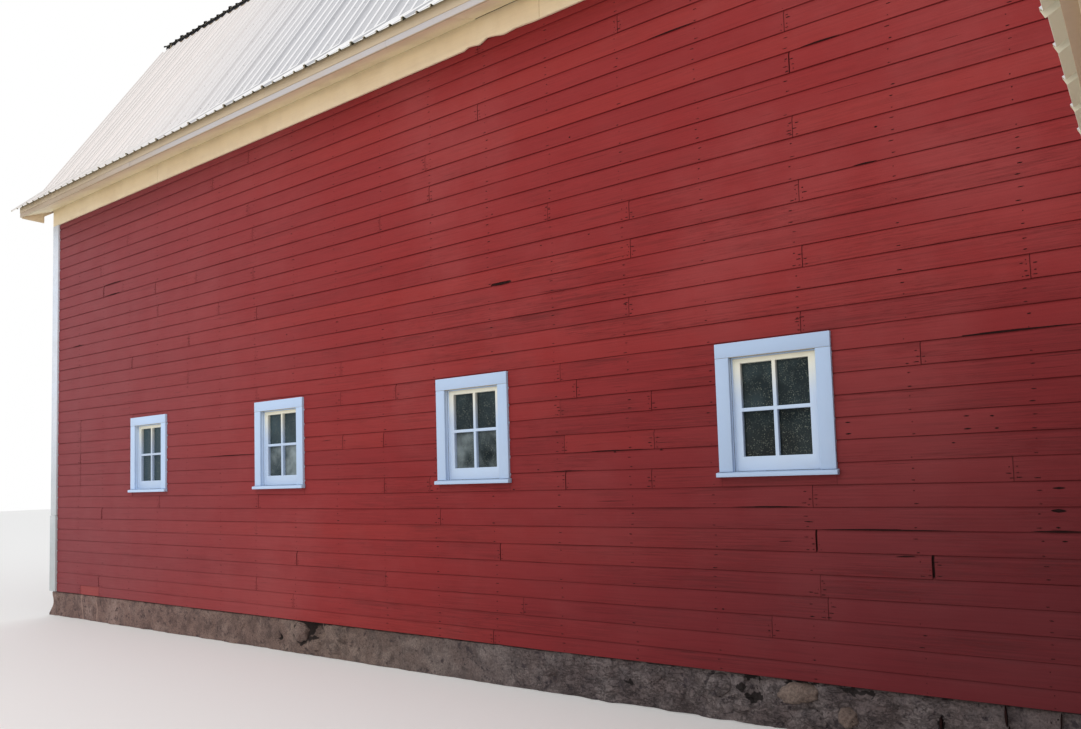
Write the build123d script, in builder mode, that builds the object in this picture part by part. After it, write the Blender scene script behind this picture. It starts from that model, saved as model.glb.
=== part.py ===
# A red barn with a gambrel roof and a low gabled wing, in millimetres, +Z up.
# The origin is the middle of the main barn's footprint at ground level. The long front wall
# faces -Y, and +X runs along it to the right. Heights are above the ground, and distances
# called u run inwards from the face of the siding, so overhangs are negative.

import os
from math import cos, radians, sin, tan

from build123d import *

os.makedirs("parts", exist_ok=True)

# Main barn, over the faces of its siding
barn_length = 18290
barn_width = 9750
foundation_height = 306
foundation_thickness = 300
foundation_setback = 15
course_height = 135.3
course_count = 35
frame_thickness = 140
siding_thickness = 20

# Boards that trim the corners and eaves
trim_proud = 20
corner_board_width = 143
frieze_height = 217
fascia_overhang = 382
fascia_height = 153
board_thickness = 20
soffit_thickness = 15
soffit_lift = 10
end_board_drop = 10
end_board_level = 287
end_board_step = 86
rake_overhang = 124
rake_board_width = 185

# Gambrel roof of the main barn, as the line that its steel sheets lie on
eave_overhang = 430
eave_drop = 67
kick_run = 382
kick_rise = 363
lower_pitch = 57
upper_pitch = 30
upper_eave_run = 1673
upper_eave_lift = 148
upper_overhang = 30
roof_thickness = 150

# Ribbed steel sheets: every fourth rib is a tall one, where two sheets lap
sheet_gauge = 2
sheet_rake_overhang = 215
rib_pitch = 152.4
ribs_per_sheet = 4
tall_rib_height = 24
tall_rib_base = 58
tall_rib_top = 24
low_rib_height = 15
low_rib_base = 38
low_rib_top = 17
ridge_cap_width = 220

# Windows, by their outer trim
window_width = 741
window_height = 838
side_casing_width = 86
head_casing_height = 93
casing_proud = 21
sill_thickness = 33
sill_horn = 24
sill_proud = 53
sash_recess = 62
sash_thickness = 35
stile_width = 65
top_rail_height = 43
bottom_rail_height = 74
glass_thickness = 4
window_sill_height = 1247
front_window_distances = [2338, 4711, 7171, 9639]
back_window_count = 6
window_pitch = 2462
loft_sill_height = 5690
end_window_distance = 3300

# Doors
barn_door_opening = 3000
barn_door_height = 3000
barn_door_thickness = 40
barn_door_lap = 60
barn_door_gap = 10
track_height = 110
track_depth = 75
wing_door_width = 900
wing_door_height = 2030
wing_door_thickness = 44
wing_door_recess = 30
door_casing_width = 95

# Low gabled wing in front of the right end, by its distance from the right gable
wing_end_distance = 1807
wing_width = 4600
wing_depth = 4300
wing_eave_height = 2256
wing_eave_overhang = 397
wing_fascia_overhang = 363
wing_fascia_height = 134
wing_pitch = 30
wing_roof_thickness = 120
wing_window_sill_height = 860

# Faces and levels that follow from these
half_length = barn_length / 2
half_width = barn_width / 2
front_face = -half_width
left_face = -half_length
floor_level = foundation_height
siding_top = floor_level + course_height * course_count
plate_level = siding_top + frieze_height
wall_depth = siding_thickness + frame_thickness
rake_inner = half_length + rake_overhang - board_thickness


def meet(point, pitch, other_point, other_pitch):
    # The point where two sloping lines cross in a vertical section
    slope, other_slope = tan(radians(pitch)), tan(radians(other_pitch))
    across = (other_point[1] - point[1] + slope * point[0] - other_slope * other_point[0]) / (
        slope - other_slope
    )
    return (across, point[1] + slope * (across - point[0]))


def below(point, distance, pitch):
    # A point straight down, on a line parallel to the slope at this distance
    return (point[0], point[1] - distance / cos(radians(pitch)))


# The main roof's section
tip = (-eave_overhang, plate_level - eave_drop)
kick = (tip[0] + kick_run, tip[1] + kick_rise)
kick_slope = kick_rise / kick_run
upper_tip = (
    upper_eave_run - eave_overhang + kick_run,
    kick[1] + upper_eave_run * tan(radians(lower_pitch)) + upper_eave_lift,
)
ridge = (half_width, upper_tip[1] + (half_width - upper_tip[0]) * tan(radians(upper_pitch)))


def flare_height(u):
    # Height of the sheets' line over the flared eave
    return tip[1] + (u - tip[0]) * kick_slope


def lower_height(u):
    # Height of the sheets' line over the steep lower slope
    return kick[1] + (u - kick[0]) * tan(radians(lower_pitch))


def upper_height(u):
    # Height of the sheets' line over the upper slope
    return upper_tip[1] + (u - upper_tip[0]) * tan(radians(upper_pitch))


upper_end = upper_tip[0] + upper_overhang
upper_end_top = (upper_end, upper_height(upper_end))
upper_end_foot = below(upper_end_top, roof_thickness, upper_pitch)
roof_knee = meet(below(kick, roof_thickness, lower_pitch), lower_pitch, upper_end_foot, upper_pitch)
ridge_foot = below(ridge, roof_thickness, upper_pitch)
plate_inside = below((wall_depth, lower_height(wall_depth)), roof_thickness, lower_pitch)
fascia_inner = board_thickness - fascia_overhang
fascia_foot = flare_height(-fascia_overhang) - fascia_height + trim_proud
soffit_foot = fascia_foot + soffit_lift


def front_section(*points):
    # Points of a section through the front half, placed at the front wall
    return [(front_face + u, z) for u, z in points]


def whole_section(*points):
    # The same section, whose last point is on the ridge, carried on to the back wall
    front = front_section(*points)
    return front + [(-y, z) for y, z in reversed(front[:-1])]


# The wing's faces and its roof's section, across the wing from its left face
wing_right = half_length - wing_end_distance
wing_left = wing_right - wing_width
wing_middle = (wing_left + wing_right) / 2
wing_front = front_face - wing_depth
wing_rake_front = wing_front - rake_overhang
wing_sheet_front = wing_front - sheet_rake_overhang


def wing_height(u):
    # Height of the sheets' line over the wing
    return wing_eave_height + (u + wing_eave_overhang) * tan(radians(wing_pitch))


def wing_point(u, depth=0):
    # A point on the wing's slope, or on the line that lies this deep under it
    return below((u, wing_height(u)), depth, wing_pitch)


wing_plate = wing_point(siding_thickness, wing_roof_thickness)[1]
wing_soffit_depth = wing_roof_thickness + soffit_thickness
wing_siding_top = wing_point(0, wing_soffit_depth)[1]
wing_corner_top = wing_point(-trim_proud, wing_soffit_depth)[1]
wing_fascia_inner = board_thickness - wing_fascia_overhang


def wing_section(*points):
    # Points of a section through the wing's left half
    return [(wing_left + u, z) for u, z in points]


def whole_wing_section(*points):
    # The same section, whose last point is on the wing's ridge, carried on to its right wall
    left = wing_section(*points)
    return left + [(2 * wing_middle - x, z) for x, z in reversed(left[:-1])]


# Where the windows stand: the middle of each sill's underside, on the face of the siding,
# turned so that the window looks out
sill_level = floor_level + window_sill_height
loft_sill_level = floor_level + loft_sill_height
wing_sill_level = floor_level + wing_window_sill_height
back_row = window_pitch * (back_window_count - 1)
front_windows = [
    Location((left_face + distance, front_face, sill_level), (0, 0, 0))
    for distance in front_window_distances
]
back_windows = [
    Location((window_pitch * index - back_row / 2, half_width, sill_level), (0, 0, 180))
    for index in range(back_window_count)
]
left_windows = [
    Location((left_face, window_pitch * side, sill_level), (0, 0, -90)) for side in (-1, 0, 1)
] + [Location((left_face, 0, loft_sill_level), (0, 0, -90))]
right_windows = [
    Location((half_length, end_window_distance * side, sill_level), (0, 0, 90)) for side in (-1, 1)
] + [Location((half_length, 0, loft_sill_level), (0, 0, 90))]
wing_window_y = wing_front + wing_depth / 2
wing_left_window = Location((wing_left, wing_window_y, wing_sill_level), (0, 0, -90))
wing_right_window = Location((wing_right, wing_window_y, wing_sill_level), (0, 0, 90))
window_places = front_windows + back_windows + left_windows + right_windows
window_places = window_places + [wing_left_window, wing_right_window]

# One window at the origin, looking towards -Y: its holes, casing, sill, sash and glass
opening_width = window_width - 2 * side_casing_width
opening_height = window_height - head_casing_height
casing_height = window_height - sill_thickness
sash_height = opening_height - sill_thickness
sash_face = sash_recess - casing_proud
pane_width = opening_width - 2 * stile_width
pane_height = sash_height - top_rail_height - bottom_rail_height

with BuildPart() as wall_hole:
    with BuildSketch(Plane.XZ.offset(-wall_depth)):
        Rectangle(opening_width, opening_height, align=(Align.CENTER, Align.MIN))
    extrude(amount=wall_depth)

with BuildPart() as siding_hole:
    with BuildSketch(Plane.XZ.offset(-siding_thickness)):
        Rectangle(window_width, window_height, align=(Align.CENTER, Align.MIN))
    extrude(amount=siding_thickness)

with BuildPart() as one_casing:
    with BuildSketch(Plane.XZ.offset(-siding_thickness)):
        with Locations((0, sill_thickness)):
            Rectangle(window_width, casing_height, align=(Align.CENTER, Align.MIN))
            Rectangle(opening_width, sash_height, align=(Align.CENTER, Align.MIN), mode=Mode.SUBTRACT)
    extrude(amount=siding_thickness + casing_proud)

with BuildPart() as one_sill:
    with BuildSketch():
        with Locations((0, -sill_proud)):
            Rectangle(window_width + 2 * sill_horn, sill_proud, align=(Align.CENTER, Align.MIN))
        Rectangle(window_width, siding_thickness, align=(Align.CENTER, Align.MIN))
        Rectangle(opening_width, wall_depth, align=(Align.CENTER, Align.MIN))
    extrude(amount=sill_thickness)

with BuildPart() as one_sash:
    with BuildSketch(Plane.XZ.offset(-sash_face - sash_thickness)):
        with Locations((0, sill_thickness)):
            Rectangle(opening_width, sash_height, align=(Align.CENTER, Align.MIN))
        with Locations((0, sill_thickness + bottom_rail_height)):
            Rectangle(pane_width, pane_height, align=(Align.CENTER, Align.MIN), mode=Mode.SUBTRACT)
    extrude(amount=sash_thickness)

with BuildPart() as one_pane:
    with BuildSketch(Plane.XZ.offset(-sash_face - sash_thickness / 2 - glass_thickness / 2)):
        with Locations((0, sill_thickness + bottom_rail_height)):
            Rectangle(pane_width, pane_height, align=(Align.CENTER, Align.MIN))
    extrude(amount=glass_thickness)

with BuildPart() as window_casings:
    with Locations(*window_places):
        add(one_casing.part)

with BuildPart() as window_sills:
    with Locations(*window_places):
        add(one_sill.part)

with BuildPart() as window_sashes:
    with Locations(*window_places):
        add(one_sash.part)

with BuildPart() as window_glass:
    with Locations(*window_places):
        add(one_pane.part)

# Foundation walls and the floor between them
foundation_x = half_length - foundation_setback
foundation_y = half_width - foundation_setback
foundation_inner_x = foundation_x - foundation_thickness
foundation_inner_y = foundation_y - foundation_thickness

with BuildPart() as front_foundation:
    with Locations((0, -foundation_y, 0)):
        Box(2 * foundation_x, foundation_thickness, foundation_height,
            align=(Align.CENTER, Align.MIN, Align.MIN))

with BuildPart() as back_foundation:
    mirror(front_foundation.part, about=Plane.XZ)

with BuildPart() as left_foundation:
    with Locations((-foundation_x, 0, 0)):
        Box(foundation_thickness, 2 * foundation_inner_y, foundation_height,
            align=(Align.MIN, Align.CENTER, Align.MIN))

with BuildPart() as right_foundation:
    mirror(left_foundation.part, about=Plane.YZ)

with BuildPart() as floor_slab:
    Box(2 * foundation_inner_x, 2 * foundation_inner_y, foundation_height,
        align=(Align.CENTER, Align.CENTER, Align.MIN))

# Framed walls, with the windows and the doorway cut through them
side_wall_length = barn_length - 2 * wall_depth
gable_outline = whole_section(
    (siding_thickness, floor_level),
    (siding_thickness, plate_level),
    (wall_depth, plate_level),
    plate_inside,
    roof_knee,
    ridge_foot,
)

with BuildPart() as doorway:
    with Locations((half_length - wall_depth, 0, floor_level)):
        Box(wall_depth, barn_door_opening, barn_door_height,
            align=(Align.MIN, Align.CENTER, Align.MIN))

with BuildPart() as front_wall:
    with Locations((0, front_face + siding_thickness, floor_level)):
        Box(side_wall_length, frame_thickness, plate_level - floor_level,
            align=(Align.CENTER, Align.MIN, Align.MIN))
    with Locations(*front_windows):
        add(wall_hole.part, mode=Mode.SUBTRACT)

with BuildPart() as back_wall:
    with Locations((0, half_width - siding_thickness, floor_level)):
        Box(side_wall_length, frame_thickness, plate_level - floor_level,
            align=(Align.CENTER, Align.MAX, Align.MIN))
    with Locations(*back_windows):
        add(wall_hole.part, mode=Mode.SUBTRACT)

with BuildPart() as left_gable_wall:
    with BuildSketch(Plane.YZ.offset(left_face + siding_thickness)):
        with BuildLine():
            Polyline(*gable_outline, close=True)
        make_face()
    extrude(amount=frame_thickness)
    with Locations(*left_windows):
        add(wall_hole.part, mode=Mode.SUBTRACT)

with BuildPart() as right_gable_wall:
    with BuildSketch(Plane.YZ.offset(half_length - wall_depth)):
        with BuildLine():
            Polyline(*gable_outline, close=True)
        make_face()
    extrude(amount=frame_thickness)
    with Locations(*right_windows):
        add(wall_hole.part, mode=Mode.SUBTRACT)
    add(doorway.part, mode=Mode.SUBTRACT)

# Corner boards: an L of two boards, its outer corner at the origin and its legs along +X and +Y
corner_thickness = siding_thickness + trim_proud


def corner_board(height):
    # One L of this height
    with BuildPart() as corner:
        with BuildSketch():
            Rectangle(corner_board_width, corner_thickness, align=(Align.MIN, Align.MIN))
            Rectangle(corner_thickness, corner_board_width, align=(Align.MIN, Align.MIN))
        extrude(amount=height)
    return corner.part


corner_x = half_length + trim_proud
corner_y = half_width + trim_proud
barn_corners = [
    Location((-corner_x, -corner_y, floor_level), (0, 0, 0)),
    Location((corner_x, -corner_y, floor_level), (0, 0, 90)),
    Location((corner_x, corner_y, floor_level), (0, 0, 180)),
    Location((-corner_x, corner_y, floor_level), (0, 0, 270)),
]
wing_corners = [
    Location((wing_left - trim_proud, wing_front - trim_proud, floor_level), (0, 0, 0)),
    Location((wing_right + trim_proud, wing_front - trim_proud, floor_level), (0, 0, 90)),
]

with BuildPart() as corner_boards:
    with Locations(*barn_corners):
        add(corner_board(siding_top - floor_level))
    with Locations(*wing_corners):
        add(corner_board(wing_corner_top - floor_level))

# Siding, cut round the windows, the doorway and the corner boards
with BuildPart() as front_siding:
    with Locations((0, front_face, floor_level)):
        Box(barn_length, siding_thickness, siding_top - floor_level,
            align=(Align.CENTER, Align.MIN, Align.MIN))
    with Locations(*front_windows):
        add(siding_hole.part, mode=Mode.SUBTRACT)
    add(corner_boards.part, mode=Mode.SUBTRACT)

with BuildPart() as back_siding:
    with Locations((0, half_width, floor_level)):
        Box(barn_length, siding_thickness, siding_top - floor_level,
            align=(Align.CENTER, Align.MAX, Align.MIN))
    with Locations(*back_windows):
        add(siding_hole.part, mode=Mode.SUBTRACT)
    add(corner_boards.part, mode=Mode.SUBTRACT)

with BuildPart() as left_gable_siding:
    with BuildSketch(Plane.YZ.offset(left_face)):
        with BuildLine():
            Polyline(*gable_outline, close=True)
        make_face()
    extrude(amount=siding_thickness)
    with Locations(*left_windows):
        add(siding_hole.part, mode=Mode.SUBTRACT)
    add(corner_boards.part, mode=Mode.SUBTRACT)

with BuildPart() as right_gable_siding:
    with BuildSketch(Plane.YZ.offset(half_length - siding_thickness)):
        with BuildLine():
            Polyline(*gable_outline, close=True)
        make_face()
    extrude(amount=siding_thickness)
    with Locations(*right_windows):
        add(siding_hole.part, mode=Mode.SUBTRACT)
    add(doorway.part, mode=Mode.SUBTRACT)
    add(corner_boards.part, mode=Mode.SUBTRACT)

# The frieze under each eave
with BuildPart() as frieze_boards:
    with Locations((0, -corner_y, siding_top)):
        Box(2 * corner_x, corner_thickness, frieze_height,
            align=(Align.CENTER, Align.MIN, Align.MIN))
    mirror(about=Plane.XZ)

# Roof decks: rafters and boards as one slab to each slope, seated on the wall plates
lower_roof_outline = front_section(
    (fascia_inner, soffit_foot + soffit_thickness),
    (fascia_inner, flare_height(fascia_inner)),
    kick,
    (upper_end, lower_height(upper_end)),
    upper_end_foot,
    roof_knee,
    plate_inside,
    (wall_depth, plate_level),
    (-trim_proud, plate_level),
    (-trim_proud, plate_level + soffit_thickness),
)
upper_roof_outline = front_section(upper_end_top, ridge, ridge_foot, upper_end_foot)

with BuildPart() as lower_front_roof:
    with BuildSketch(Plane.YZ):
        with BuildLine():
            Polyline(*lower_roof_outline, close=True)
        make_face()
    extrude(amount=rake_inner, both=True)

with BuildPart() as lower_back_roof:
    mirror(lower_front_roof.part, about=Plane.XZ)

with BuildPart() as upper_front_roof:
    with BuildSketch(Plane.YZ):
        with BuildLine():
            Polyline(*upper_roof_outline, close=True)
        make_face()
    extrude(amount=rake_inner, both=True)

with BuildPart() as upper_back_roof:
    mirror(upper_front_roof.part, about=Plane.XZ)

# The wing's roof decks reach from its gable to the face of the main wall
wing_rake_inner = wing_rake_front + board_thickness
wing_roof_length = front_face - wing_rake_inner
wing_ridge = (wing_width / 2, wing_height(wing_width / 2))
wing_ridge_foot = below(wing_ridge, wing_roof_thickness, wing_pitch)
wing_roof_outline = wing_section(
    wing_point(wing_fascia_inner),
    wing_ridge,
    wing_ridge_foot,
    wing_point(wall_depth, wing_roof_thickness),
    (wall_depth, wing_plate),
    (siding_thickness, wing_plate),
    wing_point(wing_fascia_inner, wing_roof_thickness),
)
wing_mirror = Plane.YZ.offset(wing_middle)

with BuildPart() as wing_left_roof:
    with BuildSketch(Plane.XZ.offset(-front_face)):
        with BuildLine():
            Polyline(*wing_roof_outline, close=True)
        make_face()
    extrude(amount=wing_roof_length)

with BuildPart() as wing_right_roof:
    mirror(wing_left_roof.part, about=wing_mirror)

# Fascias: the long eaves of the barn, then the two of the wing
fascia_outline = front_section(
    (-fascia_overhang, fascia_foot),
    (fascia_inner, fascia_foot),
    (fascia_inner, flare_height(fascia_inner)),
    (-fascia_overhang, flare_height(-fascia_overhang)),
)
wing_fascia_foot = wing_height(-wing_fascia_overhang) - wing_fascia_height
wing_fascia_outline = wing_section(
    (-wing_fascia_overhang, wing_fascia_foot),
    (wing_fascia_inner, wing_fascia_foot),
    wing_point(wing_fascia_inner),
    wing_point(-wing_fascia_overhang),
)

with BuildPart() as wing_left_fascia:
    with BuildSketch(Plane.XZ.offset(-front_face)):
        with BuildLine():
            Polyline(*wing_fascia_outline, close=True)
        make_face()
    extrude(amount=wing_roof_length + board_thickness)

with BuildPart() as eave_fascias:
    with BuildSketch(Plane.YZ):
        with BuildLine():
            Polyline(*fascia_outline, close=True)
        make_face()
    extrude(amount=half_length + rake_overhang, both=True)
    mirror(about=Plane.XZ)
    add(wing_left_fascia.part)
    mirror(wing_left_fascia.part, about=wing_mirror)

# Soffits: a sloping board under each eave
soffit_outline = front_section(
    (-trim_proud, plate_level),
    (fascia_inner, soffit_foot),
    (fascia_inner, soffit_foot + soffit_thickness),
    (-trim_proud, plate_level + soffit_thickness),
)
wing_soffit_outline = wing_section(
    wing_point(wing_fascia_inner, wing_roof_thickness),
    wing_point(0, wing_roof_thickness),
    wing_point(0, wing_soffit_depth),
    wing_point(wing_fascia_inner, wing_soffit_depth),
)

with BuildPart() as wing_left_soffit:
    with BuildSketch(Plane.XZ.offset(-front_face)):
        with BuildLine():
            Polyline(*wing_soffit_outline, close=True)
        make_face()
    extrude(amount=wing_roof_length)

with BuildPart() as eave_soffits:
    with BuildSketch(Plane.YZ):
        with BuildLine():
            Polyline(*soffit_outline, close=True)
        make_face()
    extrude(amount=rake_inner, both=True)
    mirror(about=Plane.XZ)
    add(wing_left_soffit.part)
    mirror(wing_left_soffit.part, about=wing_mirror)

# End boards close the boxed eaves, with a step where they meet the wall
end_board_foot = fascia_foot - end_board_drop
end_board_outline = front_section(
    (fascia_inner, end_board_foot),
    (end_board_level - fascia_overhang, end_board_foot),
    (end_board_level - fascia_overhang, end_board_foot + end_board_step),
    (siding_thickness, plate_level),
    (siding_thickness, lower_height(siding_thickness)),
    kick,
    (fascia_inner, flare_height(fascia_inner)),
)

with BuildPart() as eave_end_boards:
    with BuildSketch(Plane.YZ.offset(rake_inner)):
        with BuildLine():
            Polyline(*end_board_outline, close=True)
        make_face()
    extrude(amount=board_thickness)
    mirror(about=Plane.XZ)
    mirror(about=Plane.YZ)

# Rake boards follow the edge of the roof over each gable
rake_start = (siding_thickness, lower_height(siding_thickness))
rake_knee = meet(
    below(rake_start, rake_board_width, lower_pitch),
    lower_pitch,
    below(ridge, rake_board_width, upper_pitch),
    upper_pitch,
)
rake_outline = whole_section(
    below(rake_start, rake_board_width, lower_pitch),
    rake_start,
    (upper_end, lower_height(upper_end)),
    upper_end_top,
    ridge,
)
rake_inside = whole_section(
    below(rake_start, rake_board_width, lower_pitch),
    rake_knee,
    below(ridge, rake_board_width, upper_pitch),
)
wing_rake_outline = whole_wing_section(
    wing_point(-wing_fascia_overhang + board_thickness, wing_soffit_depth),
    wing_point(-wing_fascia_overhang + board_thickness),
    wing_ridge,
)
wing_rake_inside = whole_wing_section(
    wing_point(-wing_fascia_overhang + board_thickness, wing_soffit_depth),
    below(wing_ridge, wing_soffit_depth, wing_pitch),
)

with BuildPart() as wing_rake_board:
    with BuildSketch(Plane.XZ.offset(-wing_rake_inner)):
        with BuildLine():
            Polyline(*wing_rake_outline, close=True)
        make_face()
        with BuildLine():
            Polyline(*wing_rake_inside, close=True)
        make_face(mode=Mode.SUBTRACT)
    extrude(amount=board_thickness)

with BuildPart() as rake_boards:
    with BuildSketch(Plane.YZ.offset(rake_inner)):
        with BuildLine():
            Polyline(*rake_outline, close=True)
        make_face()
        with BuildLine():
            Polyline(*rake_inside, close=True)
        make_face(mode=Mode.SUBTRACT)
    extrude(amount=board_thickness)
    mirror(about=Plane.YZ)
    add(wing_rake_board.part)


def ribbed_outline(length):
    # The section of the ribbed sheets over this length of roof, middle at the origin
    rib_count = int((length - tall_rib_base) / rib_pitch) + 1
    first_rib = -rib_pitch * (rib_count - 1) / 2
    points = [(-length / 2, 0), (-length / 2, sheet_gauge)]
    for index in range(rib_count):
        middle = first_rib + rib_pitch * index
        is_tall = index % ribs_per_sheet == 0
        base = tall_rib_base if is_tall else low_rib_base
        top = tall_rib_top if is_tall else low_rib_top
        crest = sheet_gauge + (tall_rib_height if is_tall else low_rib_height)
        points += [
            (middle - base / 2, sheet_gauge),
            (middle - top / 2, crest),
            (middle + top / 2, crest),
            (middle + base / 2, sheet_gauge),
        ]
    return points + [(length / 2, sheet_gauge), (length / 2, 0)]


# Steel sheets of the main roof: the lower ones bend at the flared eave
sheets_length = barn_length + 2 * sheet_rake_overhang
lower_sheet_end = (upper_end, lower_height(upper_end))
lower_sheet_path = [(0, front_face + u, z) for u, z in (tip, kick, lower_sheet_end)]
upper_sheet_run = Vector(0, ridge[0] - upper_tip[0], ridge[1] - upper_tip[1])
lower_eave_plane = Plane(
    origin=lower_sheet_path[0], x_dir=(-1, 0, 0), z_dir=(0, kick_run, kick_rise)
)
upper_eave_plane = Plane(
    origin=(0, front_face + upper_tip[0], upper_tip[1]), x_dir=(-1, 0, 0), z_dir=upper_sheet_run
)

with BuildPart() as lower_front_sheets:
    with BuildLine():
        Polyline(*lower_sheet_path)
    with BuildSketch(lower_eave_plane):
        with BuildLine():
            Polyline(*ribbed_outline(sheets_length), close=True)
        make_face()
    sweep(transition=Transition.RIGHT)

with BuildPart() as lower_back_sheets:
    mirror(lower_front_sheets.part, about=Plane.XZ)

with BuildPart() as upper_front_sheets:
    with BuildSketch(upper_eave_plane):
        with BuildLine():
            Polyline(*ribbed_outline(sheets_length), close=True)
        make_face()
    extrude(amount=upper_sheet_run.length)

with BuildPart() as upper_back_sheets:
    mirror(upper_front_sheets.part, about=Plane.XZ)

# The wing's sheets run from its rake to the face of the main wall
wing_sheets_length = front_face - wing_sheet_front
wing_sheet_run = Vector(
    wing_width / 2 + wing_eave_overhang, 0, wing_ridge[1] - wing_eave_height
)
wing_eave_plane = Plane(
    origin=(wing_left - wing_eave_overhang, front_face - wing_sheets_length / 2, wing_eave_height),
    x_dir=(0, 1, 0),
    z_dir=wing_sheet_run,
)

with BuildPart() as wing_left_sheets:
    with BuildSketch(wing_eave_plane):
        with BuildLine():
            Polyline(*ribbed_outline(wing_sheets_length), close=True)
        make_face()
    extrude(amount=wing_sheet_run.length)

with BuildPart() as wing_right_sheets:
    mirror(wing_left_sheets.part, about=wing_mirror)

# Bent caps lie on the ribs along both ridges
crest_height = sheet_gauge + tall_rib_height


def cap_outline(ridge_y, ridge_z, pitch):
    # Section of a cap as a bent strip, resting on the crests of the tall ribs
    lift = crest_height / cos(radians(pitch))
    gauge = sheet_gauge / cos(radians(pitch))
    run = ridge_cap_width * cos(radians(pitch))
    fall = ridge_cap_width * sin(radians(pitch))
    return [
        (ridge_y - run, ridge_z + lift - fall),
        (ridge_y, ridge_z + lift),
        (ridge_y + run, ridge_z + lift - fall),
        (ridge_y + run, ridge_z + lift + gauge - fall),
        (ridge_y, ridge_z + lift + gauge),
        (ridge_y - run, ridge_z + lift + gauge - fall),
    ]


with BuildPart() as wing_ridge_cap:
    with BuildSketch(Plane.XZ.offset(-front_face)):
        with BuildLine():
            Polyline(*cap_outline(wing_middle, wing_ridge[1], wing_pitch), close=True)
        make_face()
    extrude(amount=wing_sheets_length)

with BuildPart() as ridge_caps:
    with BuildSketch(Plane.YZ):
        with BuildLine():
            Polyline(*cap_outline(0, ridge[1], upper_pitch), close=True)
        make_face()
    extrude(amount=sheets_length / 2, both=True)
    add(wing_ridge_cap.part)

# A pair of plank doors on the right gable, hung from a covered track
leaf_width = barn_door_opening / 2 + barn_door_lap
leaf_height = barn_door_height + barn_door_lap
leaf_x = half_length + barn_door_gap
leaf_starts = [barn_door_gap / 2, -barn_door_gap / 2 - leaf_width]

with BuildPart() as barn_doors:
    with Locations(*[(leaf_x, start, floor_level) for start in leaf_starts]):
        Box(barn_door_thickness, leaf_width, leaf_height, align=(Align.MIN, Align.MIN, Align.MIN))

with BuildPart() as door_track:
    with Locations((half_length, 0, floor_level + leaf_height)):
        Box(track_depth, 4 * leaf_width, track_height, align=(Align.MIN, Align.CENTER, Align.MIN))

# The wing: a foundation with its floor, three framed walls, siding, and a door in its gable
wing_foundation_front = wing_front + foundation_setback

with BuildPart() as wing_foundation:
    with Locations((wing_middle, wing_foundation_front, 0)):
        Box(wing_width - 2 * foundation_setback, -foundation_y - wing_foundation_front,
            foundation_height, align=(Align.CENTER, Align.MIN, Align.MIN))

wing_wall_start = wing_front + wall_depth
wing_gable_outline = whole_wing_section(
    (siding_thickness, floor_level),
    (siding_thickness, wing_plate),
    (wall_depth, wing_plate),
    wing_point(wall_depth, wing_roof_thickness),
    wing_ridge_foot,
)

with BuildPart() as wing_doorway:
    with Locations((wing_middle, wing_front, floor_level)):
        Box(wing_door_width, wall_depth, wing_door_height,
            align=(Align.CENTER, Align.MIN, Align.MIN))

with BuildPart() as wing_left_wall:
    with Locations((wing_left + siding_thickness, wing_wall_start, floor_level)):
        Box(frame_thickness, front_face - wing_wall_start, wing_plate - floor_level,
            align=(Align.MIN, Align.MIN, Align.MIN))
    with Locations(wing_left_window):
        add(wall_hole.part, mode=Mode.SUBTRACT)

with BuildPart() as wing_right_wall:
    mirror(wing_left_wall.part, about=wing_mirror)

with BuildPart() as wing_gable_wall:
    with BuildSketch(Plane.XZ.offset(-wing_wall_start)):
        with BuildLine():
            Polyline(*wing_gable_outline, close=True)
        make_face()
    extrude(amount=frame_thickness)
    add(wing_doorway.part, mode=Mode.SUBTRACT)

with BuildPart() as wing_door_casing:
    with BuildSketch(Plane.XZ.offset(-wing_front - siding_thickness)):
        with Locations((wing_middle, floor_level)):
            Rectangle(wing_door_width + 2 * door_casing_width, wing_door_height + door_casing_width,
                      align=(Align.CENTER, Align.MIN))
            Rectangle(wing_door_width, wing_door_height, align=(Align.CENTER, Align.MIN),
                      mode=Mode.SUBTRACT)
    extrude(amount=siding_thickness + casing_proud)

with BuildPart() as wing_door_opening:
    with Locations((wing_middle, wing_front, floor_level)):
        Box(wing_door_width + 2 * door_casing_width, siding_thickness,
            wing_door_height + door_casing_width, align=(Align.CENTER, Align.MIN, Align.MIN))

with BuildPart() as wing_left_siding:
    with Locations((wing_left, wing_front, floor_level)):
        Box(siding_thickness, wing_depth, wing_siding_top - floor_level,
            align=(Align.MIN, Align.MIN, Align.MIN))
    with Locations(wing_left_window):
        add(siding_hole.part, mode=Mode.SUBTRACT)

with BuildPart() as wing_siding:
    with BuildSketch(Plane.XZ.offset(-wing_front - siding_thickness)):
        with BuildLine():
            Polyline(*wing_gable_outline, close=True)
        make_face()
    extrude(amount=siding_thickness)
    add(wing_door_opening.part, mode=Mode.SUBTRACT)
    add(wing_left_siding.part)
    mirror(wing_left_siding.part, about=wing_mirror)
    add(corner_boards.part, mode=Mode.SUBTRACT)

with BuildPart() as wing_door:
    with Locations((wing_middle, wing_front + wing_door_recess, floor_level)):
        Box(wing_door_width, wing_door_thickness, wing_door_height,
            align=(Align.CENTER, Align.MIN, Align.MIN))

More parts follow.
